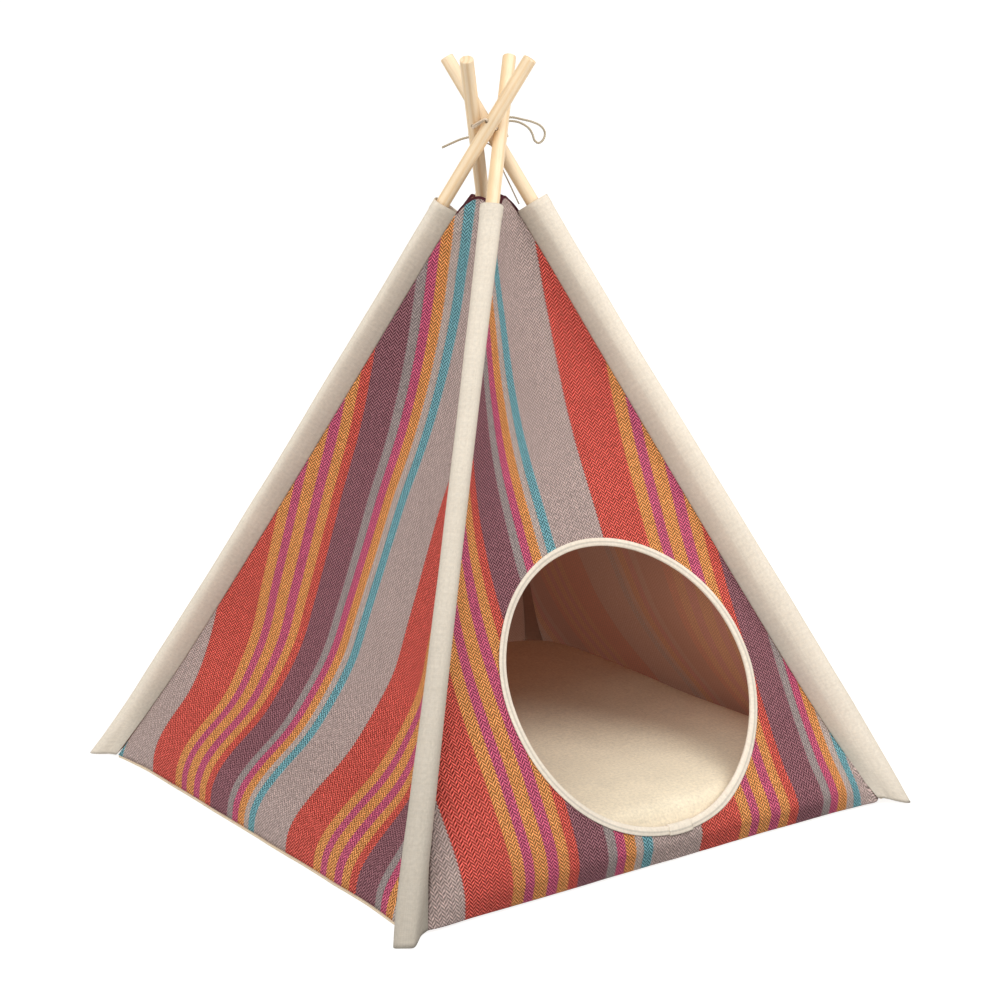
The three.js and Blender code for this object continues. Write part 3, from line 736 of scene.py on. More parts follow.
def painted_seam_shade(tree, place):
    """Painted shade beside the seam, where the cloth turns towards the walls, times the painted shade
    towards the foot.
    """
    across = node(tree, "SeparateXYZ", place).outputs[0]
    from_seam = calc(tree, "ABSOLUTE", calc(tree, "SUBTRACT", across, SLEEVE_FLAT[0] * SEAM_PLACE))
    wrapped = calc(tree, "PINGPONG", from_seam, SLEEVE_FLAT[0] / 2)
    beside = ranged(tree, wrapped, *SEAM_SHADE_REACH, SEAM_DARKEST, 1.0)
    return calc(tree, "MULTIPLY", beside, node(tree, "Attribute", attribute_name="painted_foot_shade").outputs["Fac"])


sleeve_canvas = canvas_material("sleeve_canvas", shading=painted_seam_shade)
seam_cloth = canvas_material("seam_cloth", TAIL_SHADE_PALE, TAIL_SHADE_DARK, glow=TAIL_PAINTED_GLOW)

sleeve_seams = {}
for number, pole in enumerate(poles):
    slack, girth_scale, squareness, tuck = SLEEVE_FIT[pole.corner]
    foot_square, foot_pull, foot_width, inner_lift, side_lift = FEET[pole.corner]
    heights = [SLEEVE_TOP * row / SLEEVE_ROWS for row in range(SLEEVE_ROWS + 1)]
    sections = [between_rows(SLEEVE_SECTIONS, height) for height in heights]

    def sleeve_place(column, row):
        height = heights[row]
        level, nose, girth, tail, half, slack_share = sections[row]
        low = max(0.0, 1 - height / FOOT_REACH) ** 2
        nose += slack * slack_share
        girth = girth * girth_scale * (1 + (foot_width - 1) * low)
        across, aside = sleeve_outline(column / SLEEVE_AROUND, nose, girth, tail, half,
                                       squareness + foot_square * low)
        spot = sleeve_point(pole, height, level, across, aside + foot_pull * low)
        by_sleeve, by_column, by_height = RIPPLE_PACE
        pattern = Vector((by_sleeve * number + column * by_column, height * by_height, RIPPLE_LAYER))
        ripple = noise.noise(pattern) * SLEEVE_RIPPLE * max(0.0, across / nose)
        hem = RIM_HEM_RISE * clamp((height - SLEEVE_TOP + RIM_HEM) / RIM_HEM_SLOPE)
        spread = (pole.out * across + pole.side * aside).normalized()
        spot += spread * (ripple + hem)
        spot.z += low * inner_lift * (nose - across) / (nose + tail)
        spot.z += low * side_lift * max(0.0, 0.5 + aside / girth / 2)
        return spot, (column / SLEEVE_AROUND * SLEEVE_FLAT[0], height)

    sleeve_mesh = placed_grid(SLEEVE_AROUND, SLEEVE_ROWS, sleeve_place, closed=True)
    foot_edges = [edge for edge in sleeve_mesh.edges
                  if edge.is_boundary and max(vert.co.z for vert in edge.verts) < FOOT_EDGE_TOP]
    bmesh.ops.holes_fill(sleeve_mesh, edges=foot_edges, sides=0)
    bmesh.ops.recalc_face_normals(sleeve_mesh, faces=sleeve_mesh.faces)
    # Faces of the tail, inside the tent, take the brown cloth of painted shade.
    for face in sleeve_mesh.faces:
        if face.normal.dot(pole.out) < -TAIL_FACING:
            face.material_index = 1
    sleeve = add_piece(sleeve_mesh, f"canvas_sleeve_{pole.corner}", sleeve_canvas, seam_cloth)
    # Painted shade: each sleeve is darkened towards its foot, and a little all over, by the amounts given
    # for its corner.
    painted_foot_shade = sleeve.data.attributes.new("painted_foot_shade", "FLOAT", "POINT")
    for vertex, foot_shade_value in zip(sleeve.data.vertices, painted_foot_shade.data):
        low_share = max(0.0, 1 - vertex.co.z / SLEEVE_TOP)
        foot_shade_value.value = 1 - SLEEVE_PAINTED_SHADE[pole.corner] * (PAINTED_SHADE_ALL_OVER + (1 - PAINTED_SHADE_ALL_OVER) * low_share ** 2)
    thicken(sleeve, CANVAS, -1)
    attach(sleeve, "root")
    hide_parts(f"sleeve_{pole.corner}")
    for hand, most in ((1, math.inf), (-1, tuck)):
        sleeve_seams[pole.corner, hand] = [
            sleeve_point(pole, height, level, -tail, hand * min(half, most))
            for height, (level, _, _, tail, half, _) in zip(heights, sections)]

# Walls: four panels of yarn-dyed striped cotton in a herringbone twill, sewn between the sleeves and hung
# slack, so that they sag inwards above and roll outwards over the pad's edge below. The front one is cut
# out round for the door.
CLOTH = 0.0018
SEAM_GAP = 0.00035
HEM_HEIGHT = 0.0029
SAG_POWER = 2
HEM_POWER = 8
HEM_POWER_FADE = 0.09
TOP_ARCH = 0.017
TOP_ARCH_START = 0.5
TOP_STEPS = 16
WALL_COLUMNS = 110
WALL_ROWS = 140
CHART_COLUMNS = 48
CHART_ROWS = 60
CHART_END = 0.001
# Low at its end a wall's cloth laps outwards, and the front one reaches past its seam to a round corner.
CORNER_ROUND = 0.011
CORNER_REACH = 0.008
CORNER_LAP = 0.0016
CORNER_LAP_START = 0.004
CORNER_REACH_HEIGHT = 0.07
DOOR_HALF_WIDTH = 0.1473
DOOR_HALF_HEIGHT = 0.1228
DOOR_ACROSS = 0.0167
DOOR_HEIGHT = 0.1598
WALL_SLOPE = math.cos(math.atan2(SIDE / 2, CROSSING_HEIGHT))
DOOR_RINGS = 56
TWILL_FINISH = (0.95, 0.08)
YARN_PITCH = 0.0009
# The yarns in each leg of the herringbone, the steps of the twill, and the yarns that each goes over.
HERRINGBONE = 4.0
TWILL_STEPS = 4.0
FLOAT_LENGTH = 2.0
PALE_YARN = byte_colour(214, 190, 180)
PALE_YARN_SHARE = 0.12
# Painted light on the raised floats and painted shade on the sunk yarns, by how strong the colour is.
FLOAT_LIGHT_AND_SHADE = (0.3, 0.75, 0.42, 0.75)
FLOAT_TONES = (0.0, 1.0, 0.8, 1.2)
# Painted shade in the hollows of the twill, by the weave's height.
TWILL_HOLLOW_SHADE = (0.0, 0.85, 0.82, 1.04)
TWILL_BUMP = (0.6, 0.00035)
STRIPE_WASH = (0.09, 0.12)
STRIPE_FLECK = (0.0036, 0.9)
# How far the middle of the front, right, back and left wall stands outside its seams, by height.
WALL_SAG = [
    (0.003, -0.002, -0.012, -0.014, -0.006),
    (0.013, 0.006, 0, -0.003, -0.002),
    (0.024, 0.014, 0.009, 0.003, 0.001),
    (0.040, 0.018, 0.010, 0.004, 0),
    (0.057, 0.018, 0.005, 0, -0.008),
    (0.085, 0.017, -0.005, -0.010, -0.028),
    (0.113, 0.016, -0.014, -0.018, -0.039),
    (0.160, 0.010, -0.025, -0.027, -0.049),
    (0.210, -0.003, -0.029, -0.031, -0.046),
    (0.265, -0.017, -0.031, -0.033, -0.043),
    (0.320, -0.024, -0.031, -0.033, -0.041),
    (0.380, -0.030, -0.029, -0.031, -0.042),
    (0.441, -0.028, -0.026, -0.027, -0.037),
    (0.500, -0.020, -0.019, -0.020, -0.029),
    (0.551, -0.013, -0.010, -0.011, -0.018),
    (0.605, -0.003, -0.003, -0.003, -0.004),
]
# How much further out each wall's cloth hangs towards its end than in its middle, by height.
WALL_LEAN = [
    (0.003, -0.003, 0, 0, 0.001),
    (0.024, -0.003, 0, 0, -0.001),
    (0.057, -0.013, 0.002, -0.002, -0.008),
    (0.113, -0.012, 0.004, -0.004, -0.012),
    (0.185, -0.003, 0.005, -0.005, -0.016),
    (0.320, -0.003, 0.005, -0.005, -0.012),
    (0.500, -0.008, 0.003, -0.003, -0.013),
    (0.605, 0, 0, 0, 0),
]
# Each wall's two corners, and where across it the middle of a teal stripe falls.
WALLS = {
    "front": ("front_left", "front_right", -0.025),
    "right": ("front_right", "back_right", -0.010),
    "back": ("back_right", "back_left", 0.018),
    "left": ("back_left", "front_left", 0.001),
}
TEAL = byte_colour(84, 150, 160)
TAUPE = byte_colour(172, 152, 146)
RED = byte_colour(192, 58, 44)
ORANGE = byte_colour(204, 130, 58)
MAGENTA = byte_colour(182, 60, 102)
PLUM = byte_colour(118, 64, 78)
GREY = byte_colour(144, 132, 130)
PALE_GREY = byte_colour(176, 160, 152)
# A dark band of painted shade along each wall's top edge, with its width and softness.
RIM_PAINTED_SHADE = byte_colour(84, 44, 50)
RIM_WIDTH = 0.0032
RIM_SOFTNESS = 0.15
# The inside faces: a dark brown mixed in as painted shade, its share, and a painted glow for light through
# the cloth.
INSIDE_SHADE = byte_colour(166, 118, 94)
INSIDE_SHADE_SHARE = 0.85
INSIDE_GLOW = 0.18
# The stripes of one repeat and their widths, from the left edge of the teal one.
STRIPES = [
    (TEAL, 0.010), (TAUPE, 0.063), (RED, 0.051), (ORANGE, 0.013), (MAGENTA, 0.011), (ORANGE, 0.015),
    (MAGENTA, 0.014), (ORANGE, 0.012), (RED, 0.012), (PLUM, 0.035), (GREY, 0.011), (MAGENTA, 0.011),
    (ORANGE, 0.012), (PALE_GREY, 0.010),
]
REPEAT = sum(width for _, width in STRIPES)
# How many half widths away from its line a crease ends, and the share of its rise that it loses on its way.
CREASE_END = 3
CREASE_FADE = 0.5
# The cloth's unevenness: its rise, and how fast its pattern moves on along the wall, up it, and to the next
# wall.
BROAD_RIPPLE = (0.0011, 11, 8, 7)
FINE_RIPPLE = (0.0004, 34, 30, 3.7)
BROAD_LAYER = 0.3
# How soon away from its seams a wall is as uneven as in its middle.
RELIEF_SPREAD = 2.5
# Soft creases of each wall, each from a place and height to another, with its half width and its rise.
CREASES = {
    "front": [
        (-0.262, 0.018, -0.170, 0.120, 0.022, 0.0020), (0.250, 0.020, 0.190, 0.100, 0.020, 0.0018),
        (-0.120, 0.300, -0.060, 0.470, 0.026, -0.0014), (0.120, 0.310, 0.062, 0.450, 0.024, 0.0012),
    ],
    "right": [
        (-0.255, 0.025, -0.150, 0.140, 0.026, 0.0024), (0.250, 0.025, 0.130, 0.170, 0.028, 0.0020),
        (-0.060, 0.180, 0.020, 0.420, 0.034, -0.0016),
    ],
    "back": [
        (-0.250, 0.020, -0.140, 0.150, 0.028, 0.0022), (0.255, 0.025, 0.160, 0.130, 0.024, 0.0024),
        (0.050, 0.200, -0.010, 0.440, 0.036, -0.0018),
    ],
    "left": [
        (-0.255, 0.022, -0.150, 0.130, 0.026, 0.0022), (0.262, 0.020, 0.165, 0.140, 0.026, 0.0024),
        (-0.060, 0.220, 0.010, 0.430, 0.036, -0.0014), (0.110, 0.200, 0.060, 0.380, 0.030, 0.0012),
    ],
}


def hung_wall(name):
    """A wall's two directions, its seams, and what its cloth's points are worked out from."""
    first, second, teal = WALLS[name]
    ends = [next(pole for pole in poles if pole.corner == corner) for corner in (first, second)]
    out = (ends[0].radial + ends[1].radial).normalized()
    seams = sleeve_seams[first, 1], sleeve_seams[second, -1]
    levels = [[point.z for point in seam] for seam in seams]
    top = min(seam[-1].z for seam in seams)
    return SimpleNamespace(number=list(WALLS).index(name), out=out, along=UP.cross(out), seams=seams,
                           levels=levels, top=top, teal=teal, creases=CREASES[name])


def seam_at(wall, end, height):
    """A wall's seam at a height, as how far along the wall and how far out it is."""
    seam, levels = wall.seams[end], wall.levels[end]
    upper = min(max(bisect.bisect_left(levels, height), 1), len(seam) - 1)
    share = (height - levels[upper - 1]) / (levels[upper] - levels[upper - 1])
    point = seam[upper - 1] + (seam[upper] - seam[upper - 1]) * share
    return point.dot(wall.along), point.dot(wall.out)


def wall_edges(wall, height):
    (first, first_out), (last, last_out) = seam_at(wall, 0, height), seam_at(wall, 1, height)
    return first + SEAM_GAP, last - SEAM_GAP, first_out, last_out


def relief(wall, place, height):
    """How far creases and unevenness lift a wall's cloth."""
    spot = Vector((place, height))
    lift = 0.0
    for x0, z0, x1, z1, half, rise in wall.creases:
        start, run = Vector((x0, z0)), Vector((x1 - x0, z1 - z0))
        t = clamp((spot - start).dot(run) / run.length_squared)
        away = (spot - start - run * t).length / half
        if away < CREASE_END:
            lift += rise * math.exp(-away * away) * (1 - CREASE_FADE * t)
    rise, along, up, next_wall = BROAD_RIPPLE
    lift += rise * noise.noise(Vector((place * along + wall.number * next_wall, height * up, BROAD_LAYER)))
    rise, along, up, next_wall = FINE_RIPPLE
    lift += rise * noise.noise(Vector((place * along, height * up, wall.number * next_wall)))
    return lift


def wall_point(wall, place, height, depth=0.0):
    """A point of a wall's hung cloth, by how far along the wall and how high it is."""
    first, last, first_out, last_out = wall_edges(wall, height)
    share = (place - first) / (last - first)
    off_middle = 2 * share - 1
    power = SAG_POWER + HEM_POWER * math.exp(-height / HEM_POWER_FADE)
    fullness = 1 - min(1.0, abs(off_middle)) ** power
    lean = between_rows(WALL_LEAN, height)[wall.number] * off_middle
    sag = between_rows(WALL_SAG, height)[wall.number] + lean
    outward = first_out + (last_out - first_out) * share + sag * fullness
    outward += relief(wall, place, height) * min(1.0, RELIEF_SPREAD * fullness)
    low = clamp(2 - 2 * height / CORNER_REACH_HEIGHT)
    outward += CORNER_LAP * low * clamp(1 + (place - last) / CORNER_LAP_START)
    return wall.along * place + wall.out * (outward - depth) + UP * height


def arched(wall, row, share):
    """A row's height where the wall's top edge arches up between its sleeves."""
    rise = TOP_ARCH * max(0.0, (row - TOP_ARCH_START) / (wall.top - TOP_ARCH_START))
    return row + rise * (1 - (2 * share - 1) ** 2)


def chart_cell(spot, cells):
    """The cell of a chart that a spot falls in, and how far into that cell it is."""
    spot = min(max(spot, 0.0), cells - CHART_END)
    return int(spot), spot - int(spot)


def between(values, cell, share):
    return values[cell] + (values[cell + 1] - values[cell]) * share


def chart_cloth(wall):
    """Chart how far up the cloth each level is, and how far across from the teal stripe each column is."""
    wall.chart_step = (wall.top + TOP_ARCH - HEM_HEIGHT) / CHART_ROWS
    heights = [HEM_HEIGHT + wall.chart_step * row for row in range(CHART_ROWS + 1)]
    wall.up_cloth = walked_lengths([wall_point(wall, DOOR_ACROSS, height) for height in heights])
    wall.across_cloth = []
    for height in heights:
        first, last, _, _ = wall_edges(wall, height)
        step = (last - first) / CHART_COLUMNS
        walked = walked_lengths([wall_point(wall, first + step * column, height)
                                 for column in range(CHART_COLUMNS + 1)])
        cell, share = chart_cell((wall.teal - first) / step, CHART_COLUMNS)
        beyond = wall.teal - first - (cell + share) * step
        start = between(walked, cell, share) + beyond
        wall.across_cloth.append([length - start for length in walked])


def cloth_spot(wall, place, height):
    """Where a point lies on the flat cloth: across from a teal stripe's edge, and up from the hem."""
    low, rise = chart_cell((height - HEM_HEIGHT) / wall.chart_step, CHART_ROWS)
    first, last, _, _ = wall_edges(wall, height)
    share = clamp((place - first) / (last - first))
    near, run = chart_cell(share * (CHART_COLUMNS - CHART_END), CHART_COLUMNS)
    across = [between(row, near, run) for row in wall.across_cloth[low:low + 2]]
    return between(across, 0, rise) + STRIPES[0][1] / 2, between(wall.up_cloth, low, rise)


def plain_wall(wall):
    """A whole panel as a grid from hem to top edge."""
    def place_cloth(column, row):
        share = column / WALL_COLUMNS
        level = HEM_HEIGHT + (wall.top - HEM_HEIGHT) * row / WALL_ROWS
        height = arched(wall, level, share)
        first, last, _, _ = wall_edges(wall, level)
        place = first + (last - first) * share
        return wall_point(wall, place, height), cloth_spot(wall, place, height)
    return placed_grid(WALL_COLUMNS, WALL_ROWS, place_cloth)


def on_door(angle, reach=0.0):
    """A place and height on the door's edge, or a reach outside it on the cloth."""
    rise = (DOOR_HALF_HEIGHT + reach * WALL_SLOPE) * math.sin(angle)
    place = DOOR_ACROSS + (DOOR_HALF_WIDTH + reach) * math.cos(angle)
    return place, DOOR_HEIGHT + rise


def panel_edge(wall):
    """Places and heights round the panel's edge, from its rounded lower right corner and up."""
    levels = [HEM_HEIGHT + (wall.top - HEM_HEIGHT) * row / WALL_ROWS for row in range(WALL_ROWS + 1)]
    edges = [wall_edges(wall, level) for level in levels]
    right = [(edge[1] + CORNER_REACH * max(0.0, 1 - level / CORNER_REACH_HEIGHT) ** 2, level)
             for edge, level in zip(edges, levels)]
    left = [(edge[0], level) for edge, level in zip(edges, levels)]
    shares = [step / TOP_STEPS for step in range(1, TOP_STEPS)]
    top = [(right[-1][0] + (left[-1][0] - right[-1][0]) * share, arched(wall, wall.top, 1 - share))
           for share in shares]
    shares = [step / WALL_COLUMNS for step in range(1, WALL_COLUMNS)]
    hem = [(left[0][0] + (right[0][0] - left[0][0]) * share, HEM_HEIGHT) for share in shares]
    edge = [Vector(spot) for spot in (*right, *top, *reversed(left), *hem)]
    centre = Vector((right[0][0] - CORNER_ROUND, HEM_HEIGHT + CORNER_ROUND))
    for spot in edge:
        away = spot - centre
        if away.x > 0 and away.y < 0 and away.length > CORNER_ROUND:
            spot.xy = centre + away.normalized() * CORNER_ROUND
    return edge


def door_wall(wall):
    """A panel as rings from its edge in to the door's edge."""
    edge = panel_edge(wall)
    edge.append(edge[0])
    angles = []
    for place, height in edge:
        rise = height - DOOR_HEIGHT
        across = (place - DOOR_ACROSS) / DOOR_HALF_WIDTH
        angles.append(math.atan2(rise / DOOR_HALF_HEIGHT, across))

    def place_cloth(column, row):
        share = row / DOOR_RINGS
        (start, low), (end, high) = edge[column], on_door(angles[column])
        place, height = start + (end - start) * share, low + (high - low) * share
        return wall_point(wall, place, height), cloth_spot(wall, place, height)
    return placed_grid(len(edge) - 1, DOOR_RINGS, place_cloth, closed=True)


# Herringbone twill: each yarn goes over two and under two, a step later on the next, and every few yarns the
# steps break off and turn back. Puts out the yarns' ridges, where the warp is on top, how far across the
# cloth the colour is taken from, and a number for each float.
herringbone, twill_in, twill_out = new_group("herringbone", ["Pitch"], ["Height", "Warp", "Column", "Yarn"])
(twill_column, twill_row), (warp_ridge, weft_ridge) = yarn_grid(
    herringbone, twill_in["Place"], twill_in["Pitch"])
twill_leg = calc(herringbone, "FLOOR", calc(herringbone, "DIVIDE", twill_column, HERRINGBONE))
turned_back = calc(herringbone, "FLOORED_MODULO", twill_leg, 2.0)
climb = calc(herringbone, "MULTIPLY_ADD", turned_back, -2.0, 1.0)
zigzag = calc(herringbone, "MULTIPLY_ADD", twill_column, climb, turned_back)
stepped_row = calc(herringbone, "ADD", twill_row, zigzag)
twill_step = calc(herringbone, "FLOORED_MODULO", stepped_row, TWILL_STEPS)
warp_up = calc(herringbone, "LESS_THAN", twill_step, FLOAT_LENGTH - 0.5)
shown_column = calc(herringbone, "SUBTRACT", twill_column, warp_up)
middle_column = calc(herringbone, "ADD", shown_column, 1.0)
float_row = calc(herringbone, "FLOOR", calc(herringbone, "DIVIDE", stepped_row, FLOAT_LENGTH))
crossing = node(herringbone, "CombineXYZ", twill_column, float_row).outputs[0]
twill_gives = {
    "Height": node(herringbone, "Mix", warp_up, None, weft_ridge, warp_ridge).outputs[0],
    "Warp": warp_up,
    "Column": calc(herringbone, "MULTIPLY", middle_column, twill_in["Pitch"]),
    "Yarn": node(herringbone, "TexWhiteNoise", crossing, noise_dimensions="2D").outputs[0],
}
for label, value in twill_gives.items():
    herringbone.links.new(value, twill_out[label])


def striped_material(name, inside_shade_share, glow):
    """The striped twill, with a dark band of painted shade along its top edge. On the side that faces in, a
    share of dark brown mutes it as painted shade, and a painted glow stands in for light that comes through
    the cloth."""
    material, tree, shader = new_material(name, *TWILL_FINISH)
    place = cloth_place(tree)
    twill = use_group(tree, herringbone, Place=place, Pitch=YARN_PITCH)
    repeats = calc(tree, "DIVIDE", twill["Column"], REPEAT)
    chart = node(tree, "ValToRGB", calc(tree, "FLOORED_MODULO", repeats, 1.0))
    chart.color_ramp.interpolation = "CONSTANT"
    edge_share = 0.0
    for number, (colour, width) in enumerate(STRIPES):
        band = chart.color_ramp.elements[0] if number == 0 else chart.color_ramp.elements.new(edge_share)
        band.position = edge_share
        band.color = colour
        edge_share += width / REPEAT
    chart.color_ramp.elements.remove(chart.color_ramp.elements[-1])
    dyed = chart.outputs["Color"]
    # Where the warp floats on top the stripe is lighter, with a little pale yarn and painted light, and
    # where it sinks it is darker with painted shade, both most where its colour is strong.
    strength = node(tree, "SeparateColor", dyed, mode="HSV").outputs[1]
    float_light_shade = ranged(tree, strength, *FLOAT_LIGHT_AND_SHADE)
    light_yarn = mix_colour(tree, PALE_YARN_SHARE, dyed, PALE_YARN)
    lit_side = toned(tree, light_yarn, calc(tree, "ADD", 1.0, float_light_shade))
    shaded_side = toned(tree, dyed, calc(tree, "SUBTRACT", 1.0, float_light_shade))
    tones = [ranged(tree, twill["Yarn"], *FLOAT_TONES), ranged(tree, twill["Height"], *TWILL_HOLLOW_SHADE)]
    for size, depth in (STRIPE_WASH, STRIPE_FLECK):
        tones.append(use_group(tree, cloth_tone, Place=place, Size=size, Depth=depth)["Tone"])
    woven = toned(tree, mix_colour(tree, twill["Warp"], shaded_side, lit_side), *tones)
    # The inside faces are muted towards dark brown as painted shade.
    inside_shaded = mix_colour(tree, inside_shade_share, woven, INSIDE_SHADE)
    to_rim = node(tree, "Attribute", attribute_name="rim").outputs["Fac"]
    rim_reach = RIM_WIDTH * (1 - RIM_SOFTNESS), RIM_WIDTH * (1 + RIM_SOFTNESS)
    # A dark band of painted shade along the top edge.
    rim_shaded = mix_colour(tree, ranged(tree, to_rim, *rim_reach, 1.0, 0.0), inside_shaded, RIM_PAINTED_SHADE)
    coat(tree, shader, rim_shaded, twill["Height"], *TWILL_BUMP)
    # The glow is painted light, standing in for light through the cloth.
    tree.links.new(rim_shaded, shader.inputs["Emission Color"])
    shader.inputs["Emission Strength"].default_value = glow
    return material


striped_cloth = striped_material("striped_cloth", 0.0, 0.0)
striped_inside = striped_material("striped_inside", INSIDE_SHADE_SHARE, INSIDE_GLOW)
walls = {}
for name in WALLS:
    wall = hung_wall(name)
    chart_cloth(wall)
    walls[name] = wall
    panel = add_piece(door_wall(wall) if name == "front" else plain_wall(wall), f"cloth_wall_{name}",
                      striped_cloth, striped_inside)
    first, last, _, _ = wall_edges(wall, wall.top)
    to_rim = panel.data.attributes.new("rim", "FLOAT", "POINT")
    for vertex, rim in zip(panel.data.vertices, to_rim.data):
        share = clamp((vertex.co.dot(wall.along) - first) / (last - first))
        rim.value = (arched(wall, wall.top, share) - vertex.co.z) / WALL_SLOPE
    thicken(panel, CLOTH, -1).material_offset = 1
    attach(panel, "root")
    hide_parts(f"wall_{name}")

# Door binding: a strip of the canvas folded over the cut edge of the door and sewn through, with its ends
# lapped at the bottom.
TAPE = 0.0009
TAPE_LEAF = 0.0068
TAPE_FOLD = 0.0011
TAPE_OFF_CLOTH = 0.0007
TAPE_PUFF = 0.0006
TAPE_STEPS = 240
TAPE_PROFILE = 20
LAP_MIDDLE = math.radians(-90)
LAP_HALF = math.radians(5.5)
LAP_STEPS = 16
LAP_WIDER = 0.0009
LAP_RISE = 0.0009
STITCH_PLACE = 0.0027
STITCH_REACH = (0.0003, 0.0009)
STITCH_DARK = 0.74


def tape_profile(share, wider, rise):
    """The tape's fold over the cloth's edge: a reach outside the door's edge and a depth into the wall."""
    leaf = TAPE_LEAF + wider
    middle = CLOTH / 2 / WALL_SLOPE
    half = middle + TAPE_OFF_CLOTH + rise
    turn = math.pi * half
    spot = share * (2 * leaf + turn)
    if spot < leaf:
        puff = TAPE_PUFF * math.sin(math.pi * spot / leaf) + rise
        return leaf - spot, -(TAPE_OFF_CLOTH + puff)
    if spot > leaf + turn:
        past = spot - leaf - turn
        return past, 2 * middle + TAPE_OFF_CLOTH + rise * (1 - past / leaf)
    angle = (spot - leaf) / half
    return -(TAPE_FOLD + wider) * math.sin(angle), middle - half * math.cos(angle)


def bind_door(wall, start, end, steps, wider=0.0, rise=0.0):
    """The tape round the door from one angle to another."""
    def place_tape(column, row):
        angle = start + (end - start) * column / steps
        reach, depth = tape_profile(row / TAPE_PROFILE, wider, rise)
        place, height = on_door(angle, reach)
        width = 2 * (TAPE_LEAF + wider)
        return (wall_point(wall, place, height, depth),
                (angle * (DOOR_HALF_WIDTH + DOOR_HALF_HEIGHT) / 2, width * row / TAPE_PROFILE))
    return placed_grid(steps, TAPE_PROFILE, place_tape, closed=True)


def stitch_shade(tree, place):
    """Painted shade in the hollow that the row of stitches draws along the middle of the tape."""
    across = node(tree, "SeparateXYZ", place).outputs[1]
    from_row = calc(tree, "ABSOLUTE", calc(tree, "SUBTRACT", across, STITCH_PLACE))
    return ranged(tree, from_row, *STITCH_REACH, STITCH_DARK, 1.0)


tape_canvas = canvas_material("tape_canvas", shading=stitch_shade)
front = walls["front"]
tape_round = bind_door(front, LAP_MIDDLE, LAP_MIDDLE + 2 * math.pi, TAPE_STEPS)
tape_lap = bind_door(front, LAP_MIDDLE - LAP_HALF, LAP_MIDDLE + LAP_HALF, LAP_STEPS, LAP_WIDER, LAP_RISE)
binding = add_piece(joined([tape_round, tape_lap]), "canvas_door_binding", tape_canvas)
thicken(binding, TAPE, 0)
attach(binding, "root")
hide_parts("door_binding")

# Floor sheet: one square of canvas under the pad, turned in at its edge and sewn to the walls' hems. The
# edge shows as a pale line, a little darker and browner than the rest.
FLOOR_SHEET = 0.0024
FLOOR_STEPS = 80
FLOOR_PROUD = {"front": 0.005, "right": 0.002, "back": 0.002, "left": 0.0015}
# How soon away from its corners the sheet stands as proud as along its sides.
PROUD_SPREAD = 12
FLOOR_EDGE = 0.0009
FLOOR_EDGE_STEPS = 3
FLOOR_RIM_PALE = byte_colour(236, 216, 188)
FLOOR_RIM_SHADE = byte_colour(218, 194, 164)


def hem_point(name, share):
    """A point of the floor sheet's edge, a little outside a wall's hem."""
    wall = walls[name]
    first, last, _, _ = wall_edges(wall, HEM_HEIGHT)
    point = wall_point(wall, first + (last - first) * share, HEM_HEIGHT)
    proud = FLOOR_PROUD[name] * min(1.0, PROUD_SPREAD * share * (1 - share))
    return (point + wall.out * proud) * Vector((1, 1, 0))


def place_floor(column, row):
    across, along = column / FLOOR_STEPS, row / FLOOR_STEPS
    near, far = hem_point("front", across), hem_point("back", 1 - across)
    left, right = hem_point("left", 1 - along), hem_point("right", along)
    corners = [hem_point("front", 0), hem_point("front", 1), hem_point("back", 1), hem_point("back", 0)]
    flat = corners[0].lerp(corners[1], across).lerp(corners[2].lerp(corners[3], across), along)
    spot = near.lerp(far, along) + left.lerp(right, across) - flat
    spot.z = FLOOR_SHEET / 2
    return spot, (spot.x, spot.y)


canvas = canvas_material("canvas")
floor_rim = canvas_material("floor_rim", FLOOR_RIM_PALE, FLOOR_RIM_SHADE)
sheet_mesh = placed_grid(FLOOR_STEPS, FLOOR_STEPS, place_floor)
for face in sheet_mesh.faces:
    if any(edge.is_boundary for edge in face.edges):
        face.material_index = 1
floor_sheet = add_piece(sheet_mesh, "canvas_floor_sheet", canvas, floor_rim)
thicken(floor_sheet, FLOOR_SHEET, 0)
turned_edge = floor_sheet.modifiers.new("turned_edge", "BEVEL")
turned_edge.width = FLOOR_EDGE
turned_edge.segments = FLOOR_EDGE_STEPS
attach(floor_sheet, "root")
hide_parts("floor_sheet")

# Pad: a square cushion of fibre in a brushed cotton cover, with rounded corners, sides drawn in a little and
# a crowned top. It lies loose on the floor sheet and fills the base.
PAD_HALF_X = 0.278
PAD_HALF_Y = 0.288
PAD_MIDDLE = Vector((0.005, -0.007, 0))
PAD_SQUARENESS = 9
PAD_DRAW_IN = 0.014
PAD_AROUND = 192
PAD_ROWS = 90
PAD_PALE = byte_colour(248, 235, 209)
PAD_SHADE = byte_colour(235, 218, 188)
PAD_PITCH = 0.0008
PAD_FLECK = 0.5
# The top's soft bumps: their rise, how far they sink, how close they are, and where up the side they start.
PAD_BUMP = 0.0016
PAD_SINK = 0.0008
PAD_BUMP_PACE = 9
PAD_BUMP_LAYER = 2.0
PAD_BUMP_START = 0.02
PAD_BUMP_FADE = 0.03
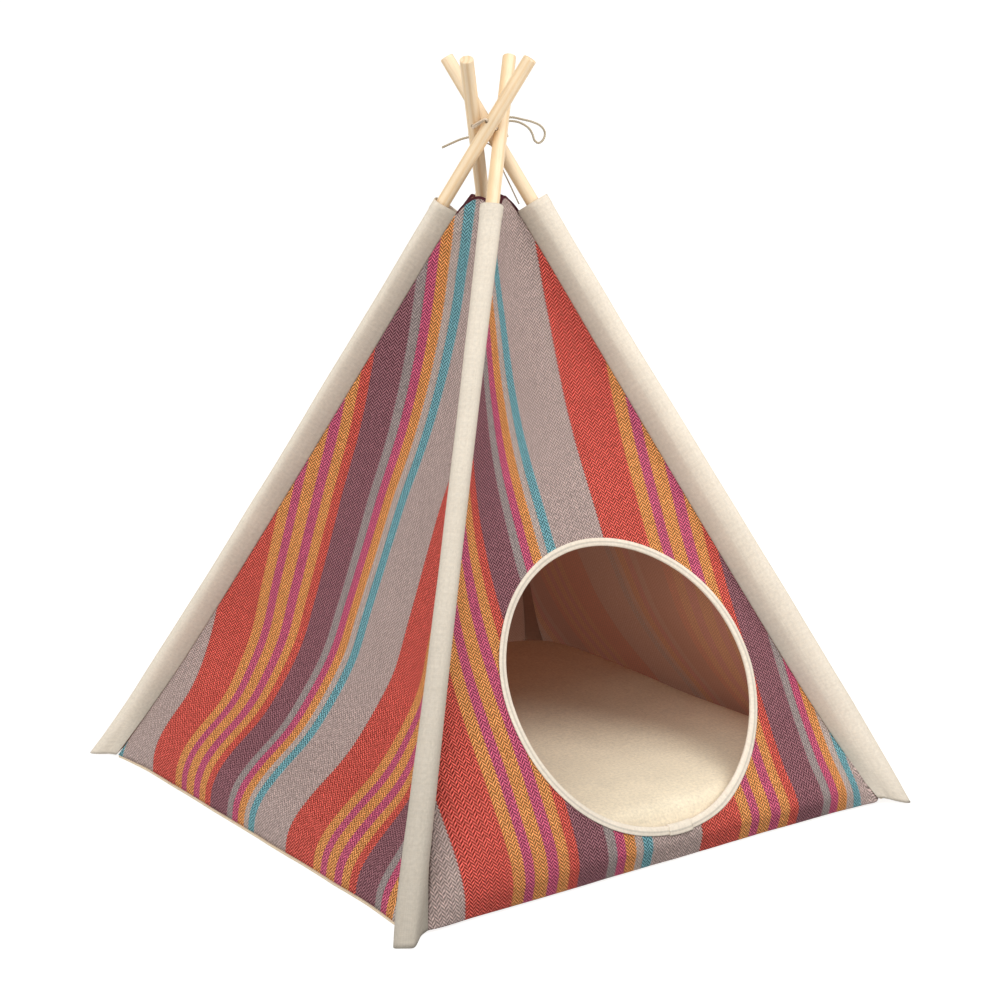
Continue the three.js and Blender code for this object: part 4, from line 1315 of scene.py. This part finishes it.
# By share of the way from the middle of the underside over the side to the crown: height and inset.
PAD_SECTIONS = [
    (0.0, 0.0029, 0.280),
    (0.28, 0.0029, 0.130),
    (0.44, 0.0029, 0.024),
    (0.475, 0.008, 0.009),
    (0.50, 0.015, 0.002),
    (0.525, 0.023, 0.0),
    (0.55, 0.032, 0.003),
    (0.58, 0.041, 0.009),
    (0.605, 0.048, 0.014),
    (0.635, 0.053, 0.025),
    (0.70, 0.057, 0.056),
    (0.81, 0.060, 0.130),
    (0.91, 0.0615, 0.210),
    (1.0, 0.0618, 0.280),
]

pad_mesh = bmesh.new()
bmesh.ops.create_uvsphere(pad_mesh, u_segments=PAD_AROUND, v_segments=PAD_ROWS, radius=1)
for vert in pad_mesh.verts:
    angle = math.atan2(vert.co.y, vert.co.x)
    share = 0.5 + math.asin(max(-1.0, min(1.0, vert.co.z))) / math.pi
    height, inset = between_rows(PAD_SECTIONS, share)
    across, along = math.cos(angle), math.sin(angle)
    square = (abs(across) ** PAD_SQUARENESS + abs(along) ** PAD_SQUARENESS) ** (-1 / PAD_SQUARENESS)
    drawn = 1 - PAD_DRAW_IN * (0.5 + 0.5 * math.cos(4 * angle))
    reach = (max(0.0, PAD_HALF_X - inset) * across, max(0.0, PAD_HALF_Y - inset) * along)
    vert.co = PAD_MIDDLE + Vector((reach[0] * square * drawn, reach[1] * square * drawn, height))
    if height > PAD_BUMP_START:
        soft = noise.noise(Vector((vert.co.x * PAD_BUMP_PACE, vert.co.y * PAD_BUMP_PACE, PAD_BUMP_LAYER)))
        vert.co.z += (PAD_BUMP * soft - PAD_SINK) * min(1.0, (height - PAD_BUMP_START) / PAD_BUMP_FADE)
for face in pad_mesh.faces:
    face.smooth = True
bmesh.ops.recalc_face_normals(pad_mesh, faces=pad_mesh.faces)


def pad_place(tree):
    return node(tree, "TexCoord").outputs["Object"]


pad_cover = canvas_material("pad_cover", PAD_PALE, PAD_SHADE, PAD_PITCH, PAD_FLECK, pad_place)
pad = add_piece(pad_mesh, "filled_pad", pad_cover)
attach(pad, "root")
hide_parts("pad")
